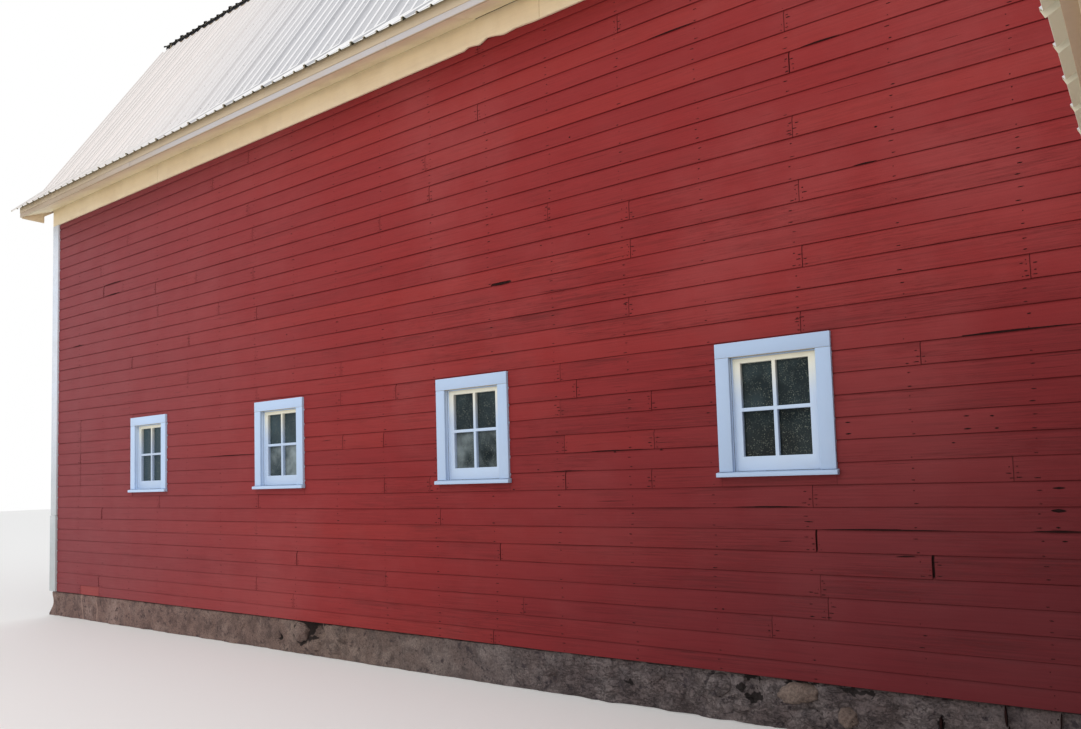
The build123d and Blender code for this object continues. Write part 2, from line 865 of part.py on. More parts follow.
# Each finished piece under its own name
pieces = {
    "front_foundation": front_foundation,
    "back_foundation": back_foundation,
    "left_foundation": left_foundation,
    "right_foundation": right_foundation,
    "floor_slab": floor_slab,
    "front_wall": front_wall,
    "back_wall": back_wall,
    "left_gable_wall": left_gable_wall,
    "right_gable_wall": right_gable_wall,
    "front_siding": front_siding,
    "back_siding": back_siding,
    "left_gable_siding": left_gable_siding,
    "right_gable_siding": right_gable_siding,
    "corner_boards": corner_boards,
    "frieze_boards": frieze_boards,
    "eave_fascias": eave_fascias,
    "eave_soffits": eave_soffits,
    "eave_end_boards": eave_end_boards,
    "rake_boards": rake_boards,
    "lower_front_roof": lower_front_roof,
    "lower_back_roof": lower_back_roof,
    "upper_front_roof": upper_front_roof,
    "upper_back_roof": upper_back_roof,
    "lower_front_sheets": lower_front_sheets,
    "lower_back_sheets": lower_back_sheets,
    "upper_front_sheets": upper_front_sheets,
    "upper_back_sheets": upper_back_sheets,
    "ridge_caps": ridge_caps,
    "window_casings": window_casings,
    "window_sills": window_sills,
    "window_sashes": window_sashes,
    "window_glass": window_glass,
    "barn_doors": barn_doors,
    "door_track": door_track,
    "wing_foundation": wing_foundation,
    "wing_left_wall": wing_left_wall,
    "wing_right_wall": wing_right_wall,
    "wing_gable_wall": wing_gable_wall,
    "wing_siding": wing_siding,
    "wing_left_roof": wing_left_roof,
    "wing_right_roof": wing_right_roof,
    "wing_left_sheets": wing_left_sheets,
    "wing_right_sheets": wing_right_sheets,
    "wing_door": wing_door,
    "wing_door_casing": wing_door_casing,
}

for name, piece in pieces.items():
    piece.part.label = name
    export_step(piece.part, f"parts/{name}.step")
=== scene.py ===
import math
import random
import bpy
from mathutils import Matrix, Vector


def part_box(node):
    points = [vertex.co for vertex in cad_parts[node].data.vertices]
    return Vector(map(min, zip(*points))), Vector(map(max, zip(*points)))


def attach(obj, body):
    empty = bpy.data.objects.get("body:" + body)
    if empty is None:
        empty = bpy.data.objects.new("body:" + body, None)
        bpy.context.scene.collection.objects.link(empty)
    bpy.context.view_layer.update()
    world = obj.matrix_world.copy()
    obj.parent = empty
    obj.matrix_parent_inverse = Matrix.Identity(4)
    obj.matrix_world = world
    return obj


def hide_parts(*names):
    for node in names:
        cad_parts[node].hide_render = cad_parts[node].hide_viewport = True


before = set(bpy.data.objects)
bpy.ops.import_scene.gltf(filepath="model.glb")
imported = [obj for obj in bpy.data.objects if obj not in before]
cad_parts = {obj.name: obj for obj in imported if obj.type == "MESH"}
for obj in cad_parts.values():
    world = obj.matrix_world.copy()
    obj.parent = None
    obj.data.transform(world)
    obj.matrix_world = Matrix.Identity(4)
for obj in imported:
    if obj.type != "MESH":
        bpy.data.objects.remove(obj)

from types import SimpleNamespace

import bmesh
import bpy
import numpy as np
from mathutils import Matrix, Vector

print("Barn: the frame is loaded")
chance = random.Random(41)
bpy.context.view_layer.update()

# The barn's main faces and levels, from the frame
sidingLow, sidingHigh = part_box("front_siding")
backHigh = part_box("back_siding")[1]
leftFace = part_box("left_gable_siding")[0].x
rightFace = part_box("right_gable_siding")[1].x
wingLow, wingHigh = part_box("wing_siding")
frontFace, backFace = sidingLow.y, backHigh.y
floorLevel, sidingTop, plateLevel = sidingLow.z, sidingHigh.z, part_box("frieze_boards")[1].z
wingLeft, wingRight, wingFront = wingLow.x, wingHigh.x, wingLow.y


# Small helpers for modelling

def deselectAll():
    bpy.ops.object.select_all(action="DESELECT")


def activate(piece):
    deselectAll()
    piece.select_set(True)
    bpy.context.view_layer.objects.active = piece


def applyPlace(piece):
    activate(piece)
    bpy.ops.object.transform_apply(location=True, rotation=True, scale=True)


def addNew(name, operator, **settings):
    deselectAll()
    operator(**settings)
    piece = bpy.context.object
    piece.name = name
    return piece


def addBlock(name, low, high):
    # A box between two corners, whose place is in its mesh
    size = [b - a for a, b in zip(low, high)]
    middle = [(a + b) / 2 for a, b in zip(low, high)]
    piece = addNew(name, bpy.ops.mesh.primitive_cube_add, size=1, location=middle, scale=size)
    applyPlace(piece)
    return piece


def openEdit(piece, kind):
    activate(piece)
    bpy.ops.object.mode_set(mode="EDIT")
    bpy.ops.mesh.select_mode(type=kind)
    bpy.ops.mesh.select_all(action="DESELECT")


def closeEdit():
    bpy.ops.object.mode_set(mode="OBJECT")


def chooseAll():
    bpy.ops.mesh.select_all(action="SELECT")


def choose(piece, kind, test):
    # Selects the verts, edges or faces that pass a test
    bpy.ops.mesh.select_all(action="DESELECT")
    mesh = bmesh.from_edit_mesh(piece.data)
    for part in getattr(mesh, kind):
        if test(part):
            part.select_set(True)
    bmesh.update_edit_mesh(piece.data)


def alongX(edge):
    step = edge.verts[1].co - edge.verts[0].co
    return abs(step.x) > 0.9 * step.length


def move(step):
    bpy.ops.transform.translate(value=step)


def extrude(step):
    bpy.ops.mesh.extrude_region_move(TRANSFORM_OT_translate={"value": step})


def faceOut():
    chooseAll()
    bpy.ops.mesh.normals_make_consistent(inside=False)
    closeEdit()


def turnOver(piece):
    openEdit(piece, "FACE")
    chooseAll()
    bpy.ops.mesh.flip_normals()
    closeEdit()


def cutAt(point, normal, **settings):
    chooseAll()
    bpy.ops.mesh.bisect(plane_co=point, plane_no=normal, **settings)


def cutAway(piece, point, normal):
    # Cuts off what lies beyond a plane, on the side that its normal points to
    openEdit(piece, "VERT")
    cutAt(point, normal, use_fill=True, clear_outer=True)
    closeEdit()


def cutLine(piece, point, normal):
    openEdit(piece, "VERT")
    cutAt(point, normal)
    closeEdit()


def useModifier(piece, name, kind, **settings):
    activate(piece)
    made = piece.modifiers.new(name, kind)
    for key, value in settings.items():
        setattr(made, key, value)
    bpy.ops.object.modifier_apply(modifier=made.name)


def shadeByAngle(piece, degrees):
    activate(piece)
    bpy.ops.object.shade_smooth_by_angle(angle=math.radians(degrees))


def soften(piece, width, segments=2):
    # Eases the sharp edges, then shades smooth between them
    useModifier(piece, "edges", "BEVEL", width=width, segments=segments, limit_method="ANGLE",
                angle_limit=math.radians(40))
    shadeByAngle(piece, 35)
    return piece


def copyTo(pattern, place):
    twin = pattern.copy()
    twin.data = pattern.data.copy()
    twin.data.transform(place)
    bpy.context.collection.objects.link(twin)
    return twin


def joinAll(name, parts):
    deselectAll()
    for part in parts:
        part.select_set(True)
    bpy.context.view_layer.objects.active = parts[0]
    if len(parts) > 1:
        bpy.ops.object.join()
    whole = bpy.context.view_layer.objects.active
    whole.name = name
    whole.data.name = name
    return whole


def discard(*parts):
    deselectAll()
    for part in parts:
        part.select_set(True)
    bpy.ops.object.delete()


def scatter(name, pattern, places):
    # Copies a small pattern to many places, as one piece
    mesh = pattern.data
    points = np.array([tuple(vertex.co) + (1.0,) for vertex in mesh.vertices])
    faces = [tuple(face.vertices) for face in mesh.polygons]
    allPoints = []
    allFaces = []
    for place in places:
        start = len(allPoints) * len(points)
        allPoints.append(points @ np.array(place).T)
        allFaces += [tuple(index + start for index in face) for face in faces]
    joined = bpy.data.meshes.new(name)
    joined.from_pydata(np.concatenate(allPoints)[:, :3].tolist(), [], allFaces)
    piece = bpy.data.objects.new(name, joined)
    bpy.context.collection.objects.link(piece)
    return piece


def dress(piece, finish, slotName, *nodes):
    piece.data.materials.clear()
    piece.data.materials.append(finish)
    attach(piece, "root")
    if nodes:
        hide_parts(*nodes)


def paintNode(nodeName, finish):
    # Gives a CAD node that stays its finish
    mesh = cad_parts[nodeName].data
    mesh.materials.clear()
    mesh.materials.append(finish)


# Small helpers for materials. They add nodes to the tree that was opened last.
opened = {}


def wire(target, source):
    if isinstance(source, bpy.types.NodeSocket):
        opened["tree"].links.new(source, target)
    else:
        target.default_value = source


def node(kind, given, **settings):
    # Adds a node, and wires or sets the given sockets
    made = opened["tree"].nodes.new("ShaderNode" + kind)
    for key, value in settings.items():
        setattr(made, key, value)
    for socket, source in given.items():
        wire(made.inputs[socket], source)
    return made.outputs


def axes(vector):
    return tuple(node("SeparateXYZ", {0: vector}))


def startMaterial(name):
    # Gives the place on the piece, whole and as X, Y and Z, and the way that the surface faces
    finish = bpy.data.materials.new(name)
    finish.use_nodes = True
    opened["tree"] = finish.node_tree
    opened["finish"] = finish
    given = node("TexCoord", {})
    x, y, z = axes(given["Object"])
    turnX, turnY, turnZ = axes(given["Normal"])
    return SimpleNamespace(place=given["Object"], x=x, y=y, z=z, turnX=turnX, turnY=turnY, turnZ=turnZ)


def endMaterial(colour, rough, specular=0.5, normal=None, metal=0.0):
    shader = opened["tree"].nodes["Principled BSDF"].inputs
    wire(shader["Base Color"], colour)
    wire(shader["Roughness"], rough)
    shader["Specular IOR Level"].default_value = specular
    shader["Metallic"].default_value = metal
    if normal:
        wire(shader["Normal"], normal)
    return opened["finish"]


def startGroup(name, inputs, outputs):
    tree = bpy.data.node_groups.new(name, "ShaderNodeTree")
    for label, kind, value in inputs:
        socket = tree.interface.new_socket(label, in_out="INPUT", socket_type="NodeSocket" + kind)
        socket.default_value = value
    for label, kind in outputs:
        tree.interface.new_socket(label, in_out="OUTPUT", socket_type="NodeSocket" + kind)
    opened["tree"] = tree
    return tree, tree.nodes.new("NodeGroupInput").outputs, tree.nodes.new("NodeGroupOutput").inputs


def noiseOf(vector, scale, detail=4.0, roughness=0.55):
    given = {"Vector": vector, "Scale": scale, "Detail": detail, "Roughness": roughness}
    return node("TexNoise", given)["Fac"]


def spotsOf(vector, scale, feature="F1"):
    return node("TexVoronoi", {"Vector": vector, "Scale": scale}, feature=feature)["Distance"]


def stretch(vector, scale, location=(0, 0, 0)):
    return node("Mapping", {"Vector": vector, "Scale": scale, "Location": location})["Vector"]


def shift(vector, location):
    return stretch(vector, (1, 1, 1), location)


def longNoise(vector, size, detail=4.0, roughness=0.55, location=(0, 0, 0)):
    # Noise whose scale differs along X, Y and Z
    return noiseOf(stretch(vector, size, location), 1.0, detail, roughness)


def swirl(vector, scale, amount):
    # Bends a vector by noise
    noise = node("TexNoise", {"Vector": vector, "Scale": scale})["Color"]
    return node("VectorMath", {0: noise, 1: (amount, amount, amount), 2: vector}, operation="MULTIPLY_ADD")[0]


def calc(operation, *values):
    total = values[0]
    for value in values[1:]:
        total = node("Math", {0: total, 1: value}, operation=operation, use_clamp=True)[0]
    return total


def times(*values):
    return calc("MULTIPLY", *values)


def plus(*values):
    return calc("ADD", *values)


def minus(*values):
    return calc("SUBTRACT", *values)


def most(*values):
    return calc("MAXIMUM", *values)


def reach(value, low, high):
    # 0 at low and below, 1 at high and above, or the other way round where low is the larger
    turned = low > high
    given = {"Value": value, "From Min": min(low, high), "From Max": max(low, high),
             "To Min": 1.0 if turned else 0.0, "To Max": 0.0 if turned else 1.0}
    return node("MapRange", given, interpolation_type="SMOOTHSTEP")["Result"]


def tint(factor, first, second, way="MIX"):
    return node("Mix", {0: factor, 6: first, 7: second}, data_type="RGBA", blend_type=way)[2]


def shaded(colour, by):
    # A colour multiplied by another
    return tint(1.0, colour, by, "MULTIPLY")


def relief(height, strength, distance):
    return node("Bump", {"Strength": strength, "Distance": distance, "Height": height})["Normal"]


def mapOf(name):
    return node("UVMap", {}, uv_map=name)["UV"]


def grey(value):
    return (value, value, value, 1)


# Effects that several finishes share

def makeWoodGrain():
    # Long fibres and fine splits; the vector's X runs along the board, in metres
    tree, given, out = startGroup(
        "wood grain",
        [("Vector", "Vector", (0, 0, 0)), ("Colour", "Color", grey(0.5)),
         ("Grain", "Float", 0.3), ("Splits", "Float", 0.3)],
        [("Colour", "Color"), ("Height", "Float")],
    )
    place, grain = given["Vector"], given["Grain"]
    fibres = longNoise(place, (2.2, 95, 95), 5.0, 0.6)
    bands = longNoise(place, (0.9, 16, 16), 3.0)
    splits = longNoise(place, (1.6, 120, 120), 2.0, location=(3.7, 1.1, 0))
    split = times(reach(splits, 0.70, 0.76), given["Splits"])
    shade = plus(times(reach(fibres, 0.35, 0.7), grain), times(reach(bands, 0.55, 0.8), grain))
    colour = tint(shade, given["Colour"], grey(0.62), "MULTIPLY")
    wire(out["Colour"], tint(split, colour, grey(0.12), "MULTIPLY"))
    wire(out["Height"], minus(plus(0.45, times(fibres, 0.5)), split))
    return tree


def makeWeather():
    # Patches where rain, sun and dust have changed a surface
    tree, given, out = startGroup(
        "weather",
        [("Vector", "Vector", (0, 0, 0)), ("Colour", "Color", grey(0.5)), ("Worn", "Color", grey(0.6)),
         ("Scale", "Float", 1.0), ("Amount", "Float", 0.4)],
        [("Colour", "Color"), ("Mask", "Float")],
    )
    patches = noiseOf(given["Vector"], given["Scale"], 6.0, 0.62)
    mask = times(reach(patches, 0.42, 0.68), given["Amount"])
    wire(out["Colour"], tint(mask, given["Colour"], given["Worn"]))
    wire(out["Mask"], mask)
    return tree


woodGrain = makeWoodGrain()
weather = makeWeather()


def weathered(place, colour, worn, scale, amount):
    given = {"Vector": place, "Colour": colour, "Worn": worn, "Scale": scale, "Amount": amount}
    return node("Group", given, node_tree=weather)["Colour"]


def grained(place, colour, grain, splits):
    # Gives the grain's colour and height
    given = {"Vector": place, "Colour": colour, "Grain": grain, "Splits": splits}
    return tuple(node("Group", given, node_tree=woodGrain))


redPaint = {
    "deep": (0.158, 0.0125, 0.0155, 1),
    "plain": (0.226, 0.0185, 0.0195, 1),
    "bright": (0.272, 0.0265, 0.0215, 1),
    "worn": (0.262, 0.0430, 0.0440, 1),
    "paintedHaze": (0.205, 0.047, 0.056, 1),
    "shaded": (0.076, 0.0072, 0.0125, 1),
    "patch": (0.46, 0.060, 0.030, 1),
    "buttShadeAndJoint": (0.066, 0.0030, 0.0042, 1),
    "flake": (0.115, 0.0085, 0.0105, 1),
    "hazeEnd": 7.0,
}


def makeRedPaint():
    # Each board has its tone; a painted haze lightens it towards the left end, painted shade darkens it low
    # by the wing, and the paint flakes there
    at = startMaterial("barn red paint")
    grainPlace = mapOf("boardGrain")
    course = axes(mapOf("boardPlace"))[1]
    endGap, tone = axes(mapOf("boardEnds"))[:2]
    colour = tint(reach(tone, 0.0, 0.55), redPaint["deep"], redPaint["plain"])
    colour = tint(reach(tone, 0.75, 1.0), colour, redPaint["bright"])
    colour = tint(0.32, redPaint["plain"], colour)
    colour = tint(reach(tone, 1.1, 1.3), colour, redPaint["patch"])
    colour = weathered(at.place, colour, redPaint["worn"], 0.55, 0.65)
    # Painted haze: the wall lighter towards its left end
    nearCorner = times(reach(at.x, leftFace + redPaint["hazeEnd"], leftFace), 0.8)
    colour = tint(nearCorner, colour, redPaint["paintedHaze"])
    # Painted shade: the wall darker low down by the wing
    shade = times(reach(at.x, -4.5, 1.8), reach(at.z, 3.2, 0.6), 0.82)
    colour = tint(shade, colour, redPaint["shaded"])
    nearWing = times(reach(at.x, -5.0, -0.8), reach(at.z, 4.3, 2.5))
    rough = times(reach(longNoise(grainPlace, (0.7, 2.5, 2.5), 3.0), 0.40, 0.62), plus(0.18, nearWing))
    colour, fibres = grained(grainPlace, colour, plus(0.26, times(rough, 0.6)), 0.7)
    flaked = times(reach(longNoise(grainPlace, (8, 90, 90), 5.0, 0.68), 0.52, 0.66), times(rough, 0.6))
    uneven = reach(longNoise(at.place, (1.1, 1.1, 9), 4.0, 0.65), 0.38, 0.62)
    # Painted shade under each board's butt and along its lower edge, and dark butt joints at the board ends
    shadeUnderButt = times(reach(course, 0.966, 0.988), plus(0.4, uneven))
    buttShadeAndJoints = most(times(shadeUnderButt, 0.75), times(reach(course, 0.018, 0.0), 0.3),
                 times(reach(endGap, 0.004, 0.0), 0.7))
    colour = tint(buttShadeAndJoints, tint(flaked, colour, redPaint["flake"]), redPaint["buttShadeAndJoint"])
    rough = plus(0.5, times(noiseOf(at.place, 3.0, 3.0), 0.3))
    return endMaterial(colour, rough, 0.16, relief(minus(fibres, times(flaked, 0.6)), 0.55, 0.003))


def makeTrimPaint(name, plain, worn, dirt, amount=0.5, foot=None):
    # Painted trim: faint grain, worn patches and dust in blotches, and a darker foot of painted shade where
    # one is given
    at = startMaterial(name)
    # Painted shade darkens the foot, where a foot colour is given
    if foot:
        plain = tint(reach(at.z, 3.0, 0.8), plain, foot)
    colour = weathered(at.place, plain, worn, 1.7, amount)
    colour = weathered(shift(at.place, (4, 9, 2)), colour, dirt, 7.0, 0.16)
    colour, fibres = grained(at.place, colour, 0.10, 0.05)
    return endMaterial(colour, 0.55, 0.3, relief(fibres, 0.12, 0.001))


def makeFasciaPaint():
    # Painted light: a warm glow at the left end, lilac grey sky light further along, warm tan light on faces
    # that look down, and tan painted shade on the wing
    at = startMaterial("fascia paint")
    # Painted light: warm at the left end, lilac grey sky light further along
    colour = tint(reach(at.x, -7.8, -5.2), (0.37, 0.285, 0.205, 1), (0.445, 0.425, 0.44, 1))
    # Painted warm light on the faces that look down
    colour = tint(reach(at.turnZ, -0.4, -0.7), colour, (0.62, 0.56, 0.38, 1))
    # Painted shade on the wing's fascias
    colour = tint(reach(at.y, -5.4, -5.6), colour, (0.44, 0.32, 0.215, 1))
    colour = weathered(at.place, colour, (0.47, 0.38, 0.30, 1), 1.7, 0.4)
    return endMaterial(grained(at.place, colour, 0.10, 0.1)[0], 0.55, 0.3)


def makeSoffitPaint():
    # Cream, with painted shade that darkens it towards the fascia
    at = startMaterial("soffit paint")
    colour = tint(reach(at.z, 5.02, 5.20), (0.74, 0.63, 0.44, 1), (0.94, 0.88, 0.63, 1))
    return endMaterial(weathered(at.place, colour, (0.62, 0.54, 0.36, 1), 3.0, 0.3), 0.6)


def makeSashPaint():
    # Painted light: blue grey sky light at the foot of the front windows, and creamy warm light under their
    # heads
    at = startMaterial("sash paint")
    glassHead = 2.255
    upper = reach(at.z, glassHead - 0.28, glassHead + 0.04)
    colour = tint(upper, (0.42, 0.53, 0.70, 1), (0.70, 0.69, 0.57, 1))
    return endMaterial(weathered(at.place, colour, (0.46, 0.50, 0.56, 1), 1.7, 0.3), 0.5)


def makeWindowPaint():
    # White with painted light: blue from sky light, a paler painted haze towards the left end, painted light
    # inside the jambs against their shade, and tan painted shade under the heads
    at = startMaterial("white window paint")
    # Painted haze, paler towards the left end
    colour = tint(reach(at.x, leftFace, 1.0), (0.46, 0.60, 0.82, 1), (0.345, 0.455, 0.635, 1))
    colour = weathered(at.place, colour, (0.42, 0.51, 0.66, 1), 1.7, 0.3)
    # Painted light on the jamb faces that face the right, against their shade
    behind = reach(at.y, frontFace - 0.003, frontFace + 0.005)
    inside = times(behind, reach(at.y, frontFace + 0.2, frontFace + 0.15), reach(at.turnX, 0.6, 0.8))
    colour = tint(inside, colour, (0.64, 0.76, 0.92, 1))
    # Tan painted shade under the heads
    below = times(reach(at.turnZ, -0.6, -0.8), reach(at.z, 1.9, 2.0))
    return endMaterial(tint(below, colour, (0.62, 0.56, 0.42, 1)), 0.55, 0.3)


def makeTimber(name, plain, worn):
    at = startMaterial(name)
    colour, fibres = grained(at.place, weathered(at.place, plain, worn, 1.4, 0.6), 0.6, 0.4)
    return endMaterial(colour, 0.85, normal=relief(fibres, 0.4, 0.003))


firstRib = -8.92
ribSpacing = 0.1524


def makeRoofPaint(name, edge=False):
    # White steel with painted light: grey blue painted shade on the flats, warmer and brighter towards the
    # left end, painted highlights on the ribs' right sides (dull at the left end, bright further along),
    # painted light on faces that look up, a pale green grey underneath, and painted shade along the upper
    # sheets' edge where asked
    at = startMaterial(name)
    # The grey blue of the flats is painted shade
    colour = weathered(at.place, (0.455, 0.46, 0.49, 1), (0.425, 0.43, 0.455, 1), 0.7, 0.5)
    # Painted light, warmer and brighter towards the left end
    colour = tint(reach(at.x, -4.0, -8.0), colour, (0.76, 0.715, 0.70, 1))
    # Painted light on faces that look up
    colour = tint(reach(at.turnZ, 0.565, 0.60), colour, (0.75, 0.74, 0.71, 1))
    streaks = times(reach(longNoise(at.place, (18, 1.2, 1.2)), 0.55, 0.75), 0.25)
    colour = tint(streaks, colour, (0.42, 0.41, 0.40, 1))
    # Painted highlights on the ribs' sides that face the right
    rib = tint(reach(at.x, -8.5, -3.5), (0.60, 0.57, 0.56, 1), (0.90, 0.90, 0.92, 1))
    fromRib = calc("PINGPONG", axes(shift(at.place, (-firstRib, 0, 0)))[0], ribSpacing / 2)
    colour = tint(times(reach(fromRib, 0.019, 0.015), reach(at.turnX, 0.5, 0.65)), colour, rib)
    colour = tint(reach(at.turnZ, -0.02, -0.2), colour, (0.80, 0.80, 0.67, 1))
    if edge:
        # Painted shade, near black, along the upper sheets' edge
        tip = upperEdge - 0.022
        dark = most(reach(at.y, -tip, -tip - 0.004), reach(at.y, tip, tip + 0.004))
        colour = tint(dark, colour, (0.014, 0.014, 0.018, 1))
    return endMaterial(colour, plus(0.42, times(streaks, 0.6)), 0.3)


def onFront(at):
    # 1 at the barn's front wall and before it, 0 further back
    return reach(at.y, -4.0, -4.4)


def ovalOf(vector, s, h, width, height):
    # 1 inside an oval on the front of the foundation, 0 outside
    half = (width / 2, 1000.0, height / 2)
    middle = ((sidingLow.x + s) / half[0], 0, (floorLevel + h) / half[2])
    given = {0: stretch(vector, [1 / part for part in half]), 1: middle}
    return reach(node("VectorMath", given, operation="DISTANCE")["Value"], 1.12, 0.88)


# Stones bedded in the front of the foundation: distance along it, height over the floor, width, height
# and how far each stands out. Then the ovals of painted shade in its hollows, and its pale runs.
stones = [
    (4.885, -0.105, 0.160, 0.180, 0.075), (9.56, -0.085, 0.27, 0.13, 0.045), (9.86, -0.19, 0.12, 0.12, 0.045),
    (9.05, -0.10, 0.20, 0.14, 0.04), (9.22, -0.20, 0.16, 0.10, 0.04), (9.66, -0.22, 0.18, 0.10, 0.035),
    (10.06, -0.09, 0.22, 0.13, 0.03), (8.78, -0.17, 0.19, 0.12, 0.04), (8.62, -0.08, 0.14, 0.10, 0.03),
    (5.42, -0.09, 0.17, 0.15, 0.035), (5.33, -0.22, 0.20, 0.10, 0.035), (5.07, -0.23, 0.14, 0.08, 0.03),
    (3.42, -0.13, 0.15, 0.16, 0.02), (3.93, -0.10, 0.19, 0.15, 0.02), (7.72, -0.15, 0.16, 0.10, 0.025),
    (8.24, -0.20, 0.20, 0.11, 0.03), (0.03, -0.08, 0.06, 0.10, 0.03), (0.05, -0.20, 0.08, 0.09, 0.03),
]
hollowShades = [
    (4.885, -0.105, 0.212, 0.232), (5.01, -0.022, 0.24, 0.045), (4.985, -0.075, 0.08, 0.110),
    (5.01, -0.160, 0.10, 0.045), (4.88, -0.215, 0.07, 0.030), (5.23, -0.012, 0.18, 0.020),
    (4.548, -0.191, 0.048, 0.040), (9.275, -0.020, 0.12, 0.045), (9.29, -0.150, 0.11, 0.050),
    (9.21, -0.085, 0.05, 0.060), (9.60, -0.014, 0.22, 0.020), (9.93, -0.030, 0.22, 0.030),
    (8.40, -0.15, 0.08, 0.030), (10.37, -0.14, 0.02, 0.080),
]
paleRuns = [(0.638, 0.016), (1.011, 0.013)]


def oldJoints(at, lumps, amount):
    # Dark joints between the stones, torn places, and a rim of painted shadow under the siding
    where = times(reach(at.x, -2.4, -0.9), reach(at.x, 2.0, 1.2))
    where = most(where, times(reach(lumps, 0.5, 0.62), 0.4))
    bent = stretch(swirl(at.place, 9.0, 0.20), (1, 1, 1.6), (-0.1, -0.1, -0.1))
    joints = reach(spotsOf(bent, 5.0, "DISTANCE_TO_EDGE"), 0.06, 0.015)
    joints = times(joints, reach(noiseOf(at.place, 5.0, 3.0), 0.40, 0.56))
    torn = noiseOf(stretch(at.place, (1, 1, 2.2)), 8.0, 6.0, 0.7)
    joints = most(joints, times(reach(torn, 0.47, 0.50), reach(torn, 0.535, 0.505)))
    # The second mask is painted shadow along the top, under the siding
    return times(joints, times(where, amount)), times(reach(at.z, 0.294, 0.304), 0.4)


def shadeInHollows(at):
    # Painted shade in the hollows of the old footing
    ragged = shift(swirl(at.place, 26.0, 0.08), (-0.04, -0.04, -0.04))
    hollow = most(0.0, *[ovalOf(ragged, *oval) for oval in hollowShades])
    return times(hollow, times(onFront(at), 0.9))


def makeConcrete(name, plain, worn, dark, rubble=0.0, blotch=1.0):
    # Grit, pits, pale runs and, in the old footing, stones with dark joints. Painted sunlight brightens it
    # towards the left; the old footing also has painted shadow under the siding, painted cool shade towards
    # the right and painted shade in its hollows
    at = startMaterial(name)
    colour = weathered(at.place, plain, worn, 3.1, 0.9)
    colour = weathered(shift(at.place, (7, 3, 5)), colour, dark, 7.5, 0.6 * blotch)
    runs = reach(longNoise(at.place, (9, 9, 0.8), 3.0, 0.6), 0.58, 0.70)
    colour = tint(times(runs, 0.35), colour, worn)
    pits = reach(spotsOf(swirl(at.place, 20.0, 0.02), 34.0), 0.20, 0.06)
    marked = times(pits, reach(noiseOf(at.place, 6.0), 0.42, 0.55))
    grit = noiseOf(at.place, 70.0, 6.0, 0.75)
    lumps = noiseOf(at.place, 17.0, 5.0, 0.7)
    colour = tint(reach(grit, 0.60, 0.38), colour, grey(0.62), "MULTIPLY")
    colour = tint(times(reach(lumps, 0.46, 0.34), blotch), colour, dark)
    if rubble:
        marked = most(marked, *oldJoints(at, lumps, rubble))
        for s, width in paleRuns:
            middle = sidingLow.x + s
            leftSide = reach(at.x, middle - width, middle - width / 3)
            run = times(leftSide, reach(at.x, middle + width, middle + width / 3), 0.42)
            colour = tint(run, colour, (0.33, 0.25, 0.20, 1))
        # Painted cool shade towards the right
        colour = tint(reach(at.x, -4.0, -0.8), colour, shaded(colour, (0.84, 0.93, 1.10, 1)))
    colour = tint(marked, colour, shaded(dark, grey(0.5)))
    sunny = times(reach(at.x, -2.0, -8.0), 0.45)
    colour = tint(sunny, colour, shaded(colour, (2.0, 1.7, 1.8, 1)))
    if rubble:
        # Painted shade, near black, in the hollows
        colour = tint(shadeInHollows(at), colour, (0.010, 0.008, 0.008, 1))
    height = minus(plus(times(grit, 0.35), times(lumps, 0.55)), times(marked, 0.4))
    return endMaterial(colour, 0.92, 0.15, relief(height, 0.9, 0.022))


def makeGlass():
    # Painted reflections on dark panes: mottled light, darker lower panes, a blue tint towards the left end,
    # light specks of painted glints, and a pale painted reflection low in the second and third windows
    at = startMaterial("old window glass")
    depth = reach(noiseOf(at.place, 3.5, 2.0), 0.4, 0.65)
    colour = tint(depth, (0.017, 0.024, 0.027, 1), (0.032, 0.048, 0.054, 1))
    # Painted reflection, in light mottles
    mottle = reach(noiseOf(at.place, 22.0, 6.0, 0.75), 0.54, 0.74)
    colour = tint(times(mottle, 0.4), colour, (0.085, 0.105, 0.100, 1))
    # Painted reflection: the lower panes darker
    colour = tint(reach(at.z, 1.99, 1.93), colour, shaded(colour, grey(0.5)))
    # Painted reflection: a blue tint towards the left end
    colour = tint(times(reach(at.x, -0.5, -8.0), 0.55), colour, (0.060, 0.098, 0.125, 1))
    # Painted glints: light specks
    specks = reach(spotsOf(swirl(at.place, 30.0, 0.03), 115.0), 0.36, 0.14)
    specks = times(specks, reach(noiseOf(at.place, 16.0, 5.0, 0.8), 0.40, 0.58), 0.8)
    colour = tint(specks, colour, (0.21, 0.23, 0.19, 1))
    # A pale painted reflection low in the second and third windows
    strength = tint(reach(at.x, -4.5, -3.6), grey(0.88), grey(0.66))
    paleReflection = times(reach(at.x, -1.0, -1.4), reach(at.x, -5.6, -5.2), reach(at.z, 1.98, 1.92),
                 reach(noiseOf(at.place, 2.6, 4.0), 0.28, 0.62), onFront(at), strength)
    colour = tint(paleReflection, colour, (0.31, 0.37, 0.39, 1))
    return endMaterial(colour, 0.08, 0.035, relief(noiseOf(at.place, 2.0, 1.0), 0.1, 0.01))


def makeIron(name, plain, worn, metal=0.3):
    at = startMaterial(name)
    return endMaterial(weathered(at.place, plain, worn, 40.0, 0.8), 0.7, metal + 0.08, metal=metal)


barnRed = makeRedPaint()
creamPaint = makeTrimPaint("cream paint", (0.78, 0.65, 0.45, 1), (0.83, 0.72, 0.53, 1), (0.54, 0.42, 0.28, 1))
fasciaPaint = makeFasciaPaint()
soffitPaint = makeSoffitPaint()
# Tan: painted shade and warm bounce light under the sheets' lip, on the crown board
crownPaintAndShade = makeTrimPaint("crown paint with painted shade", (0.465, 0.375, 0.262, 1), (0.50, 0.41, 0.30, 1),
                           (0.33, 0.26, 0.18, 1))
whitePaint = makeWindowPaint()
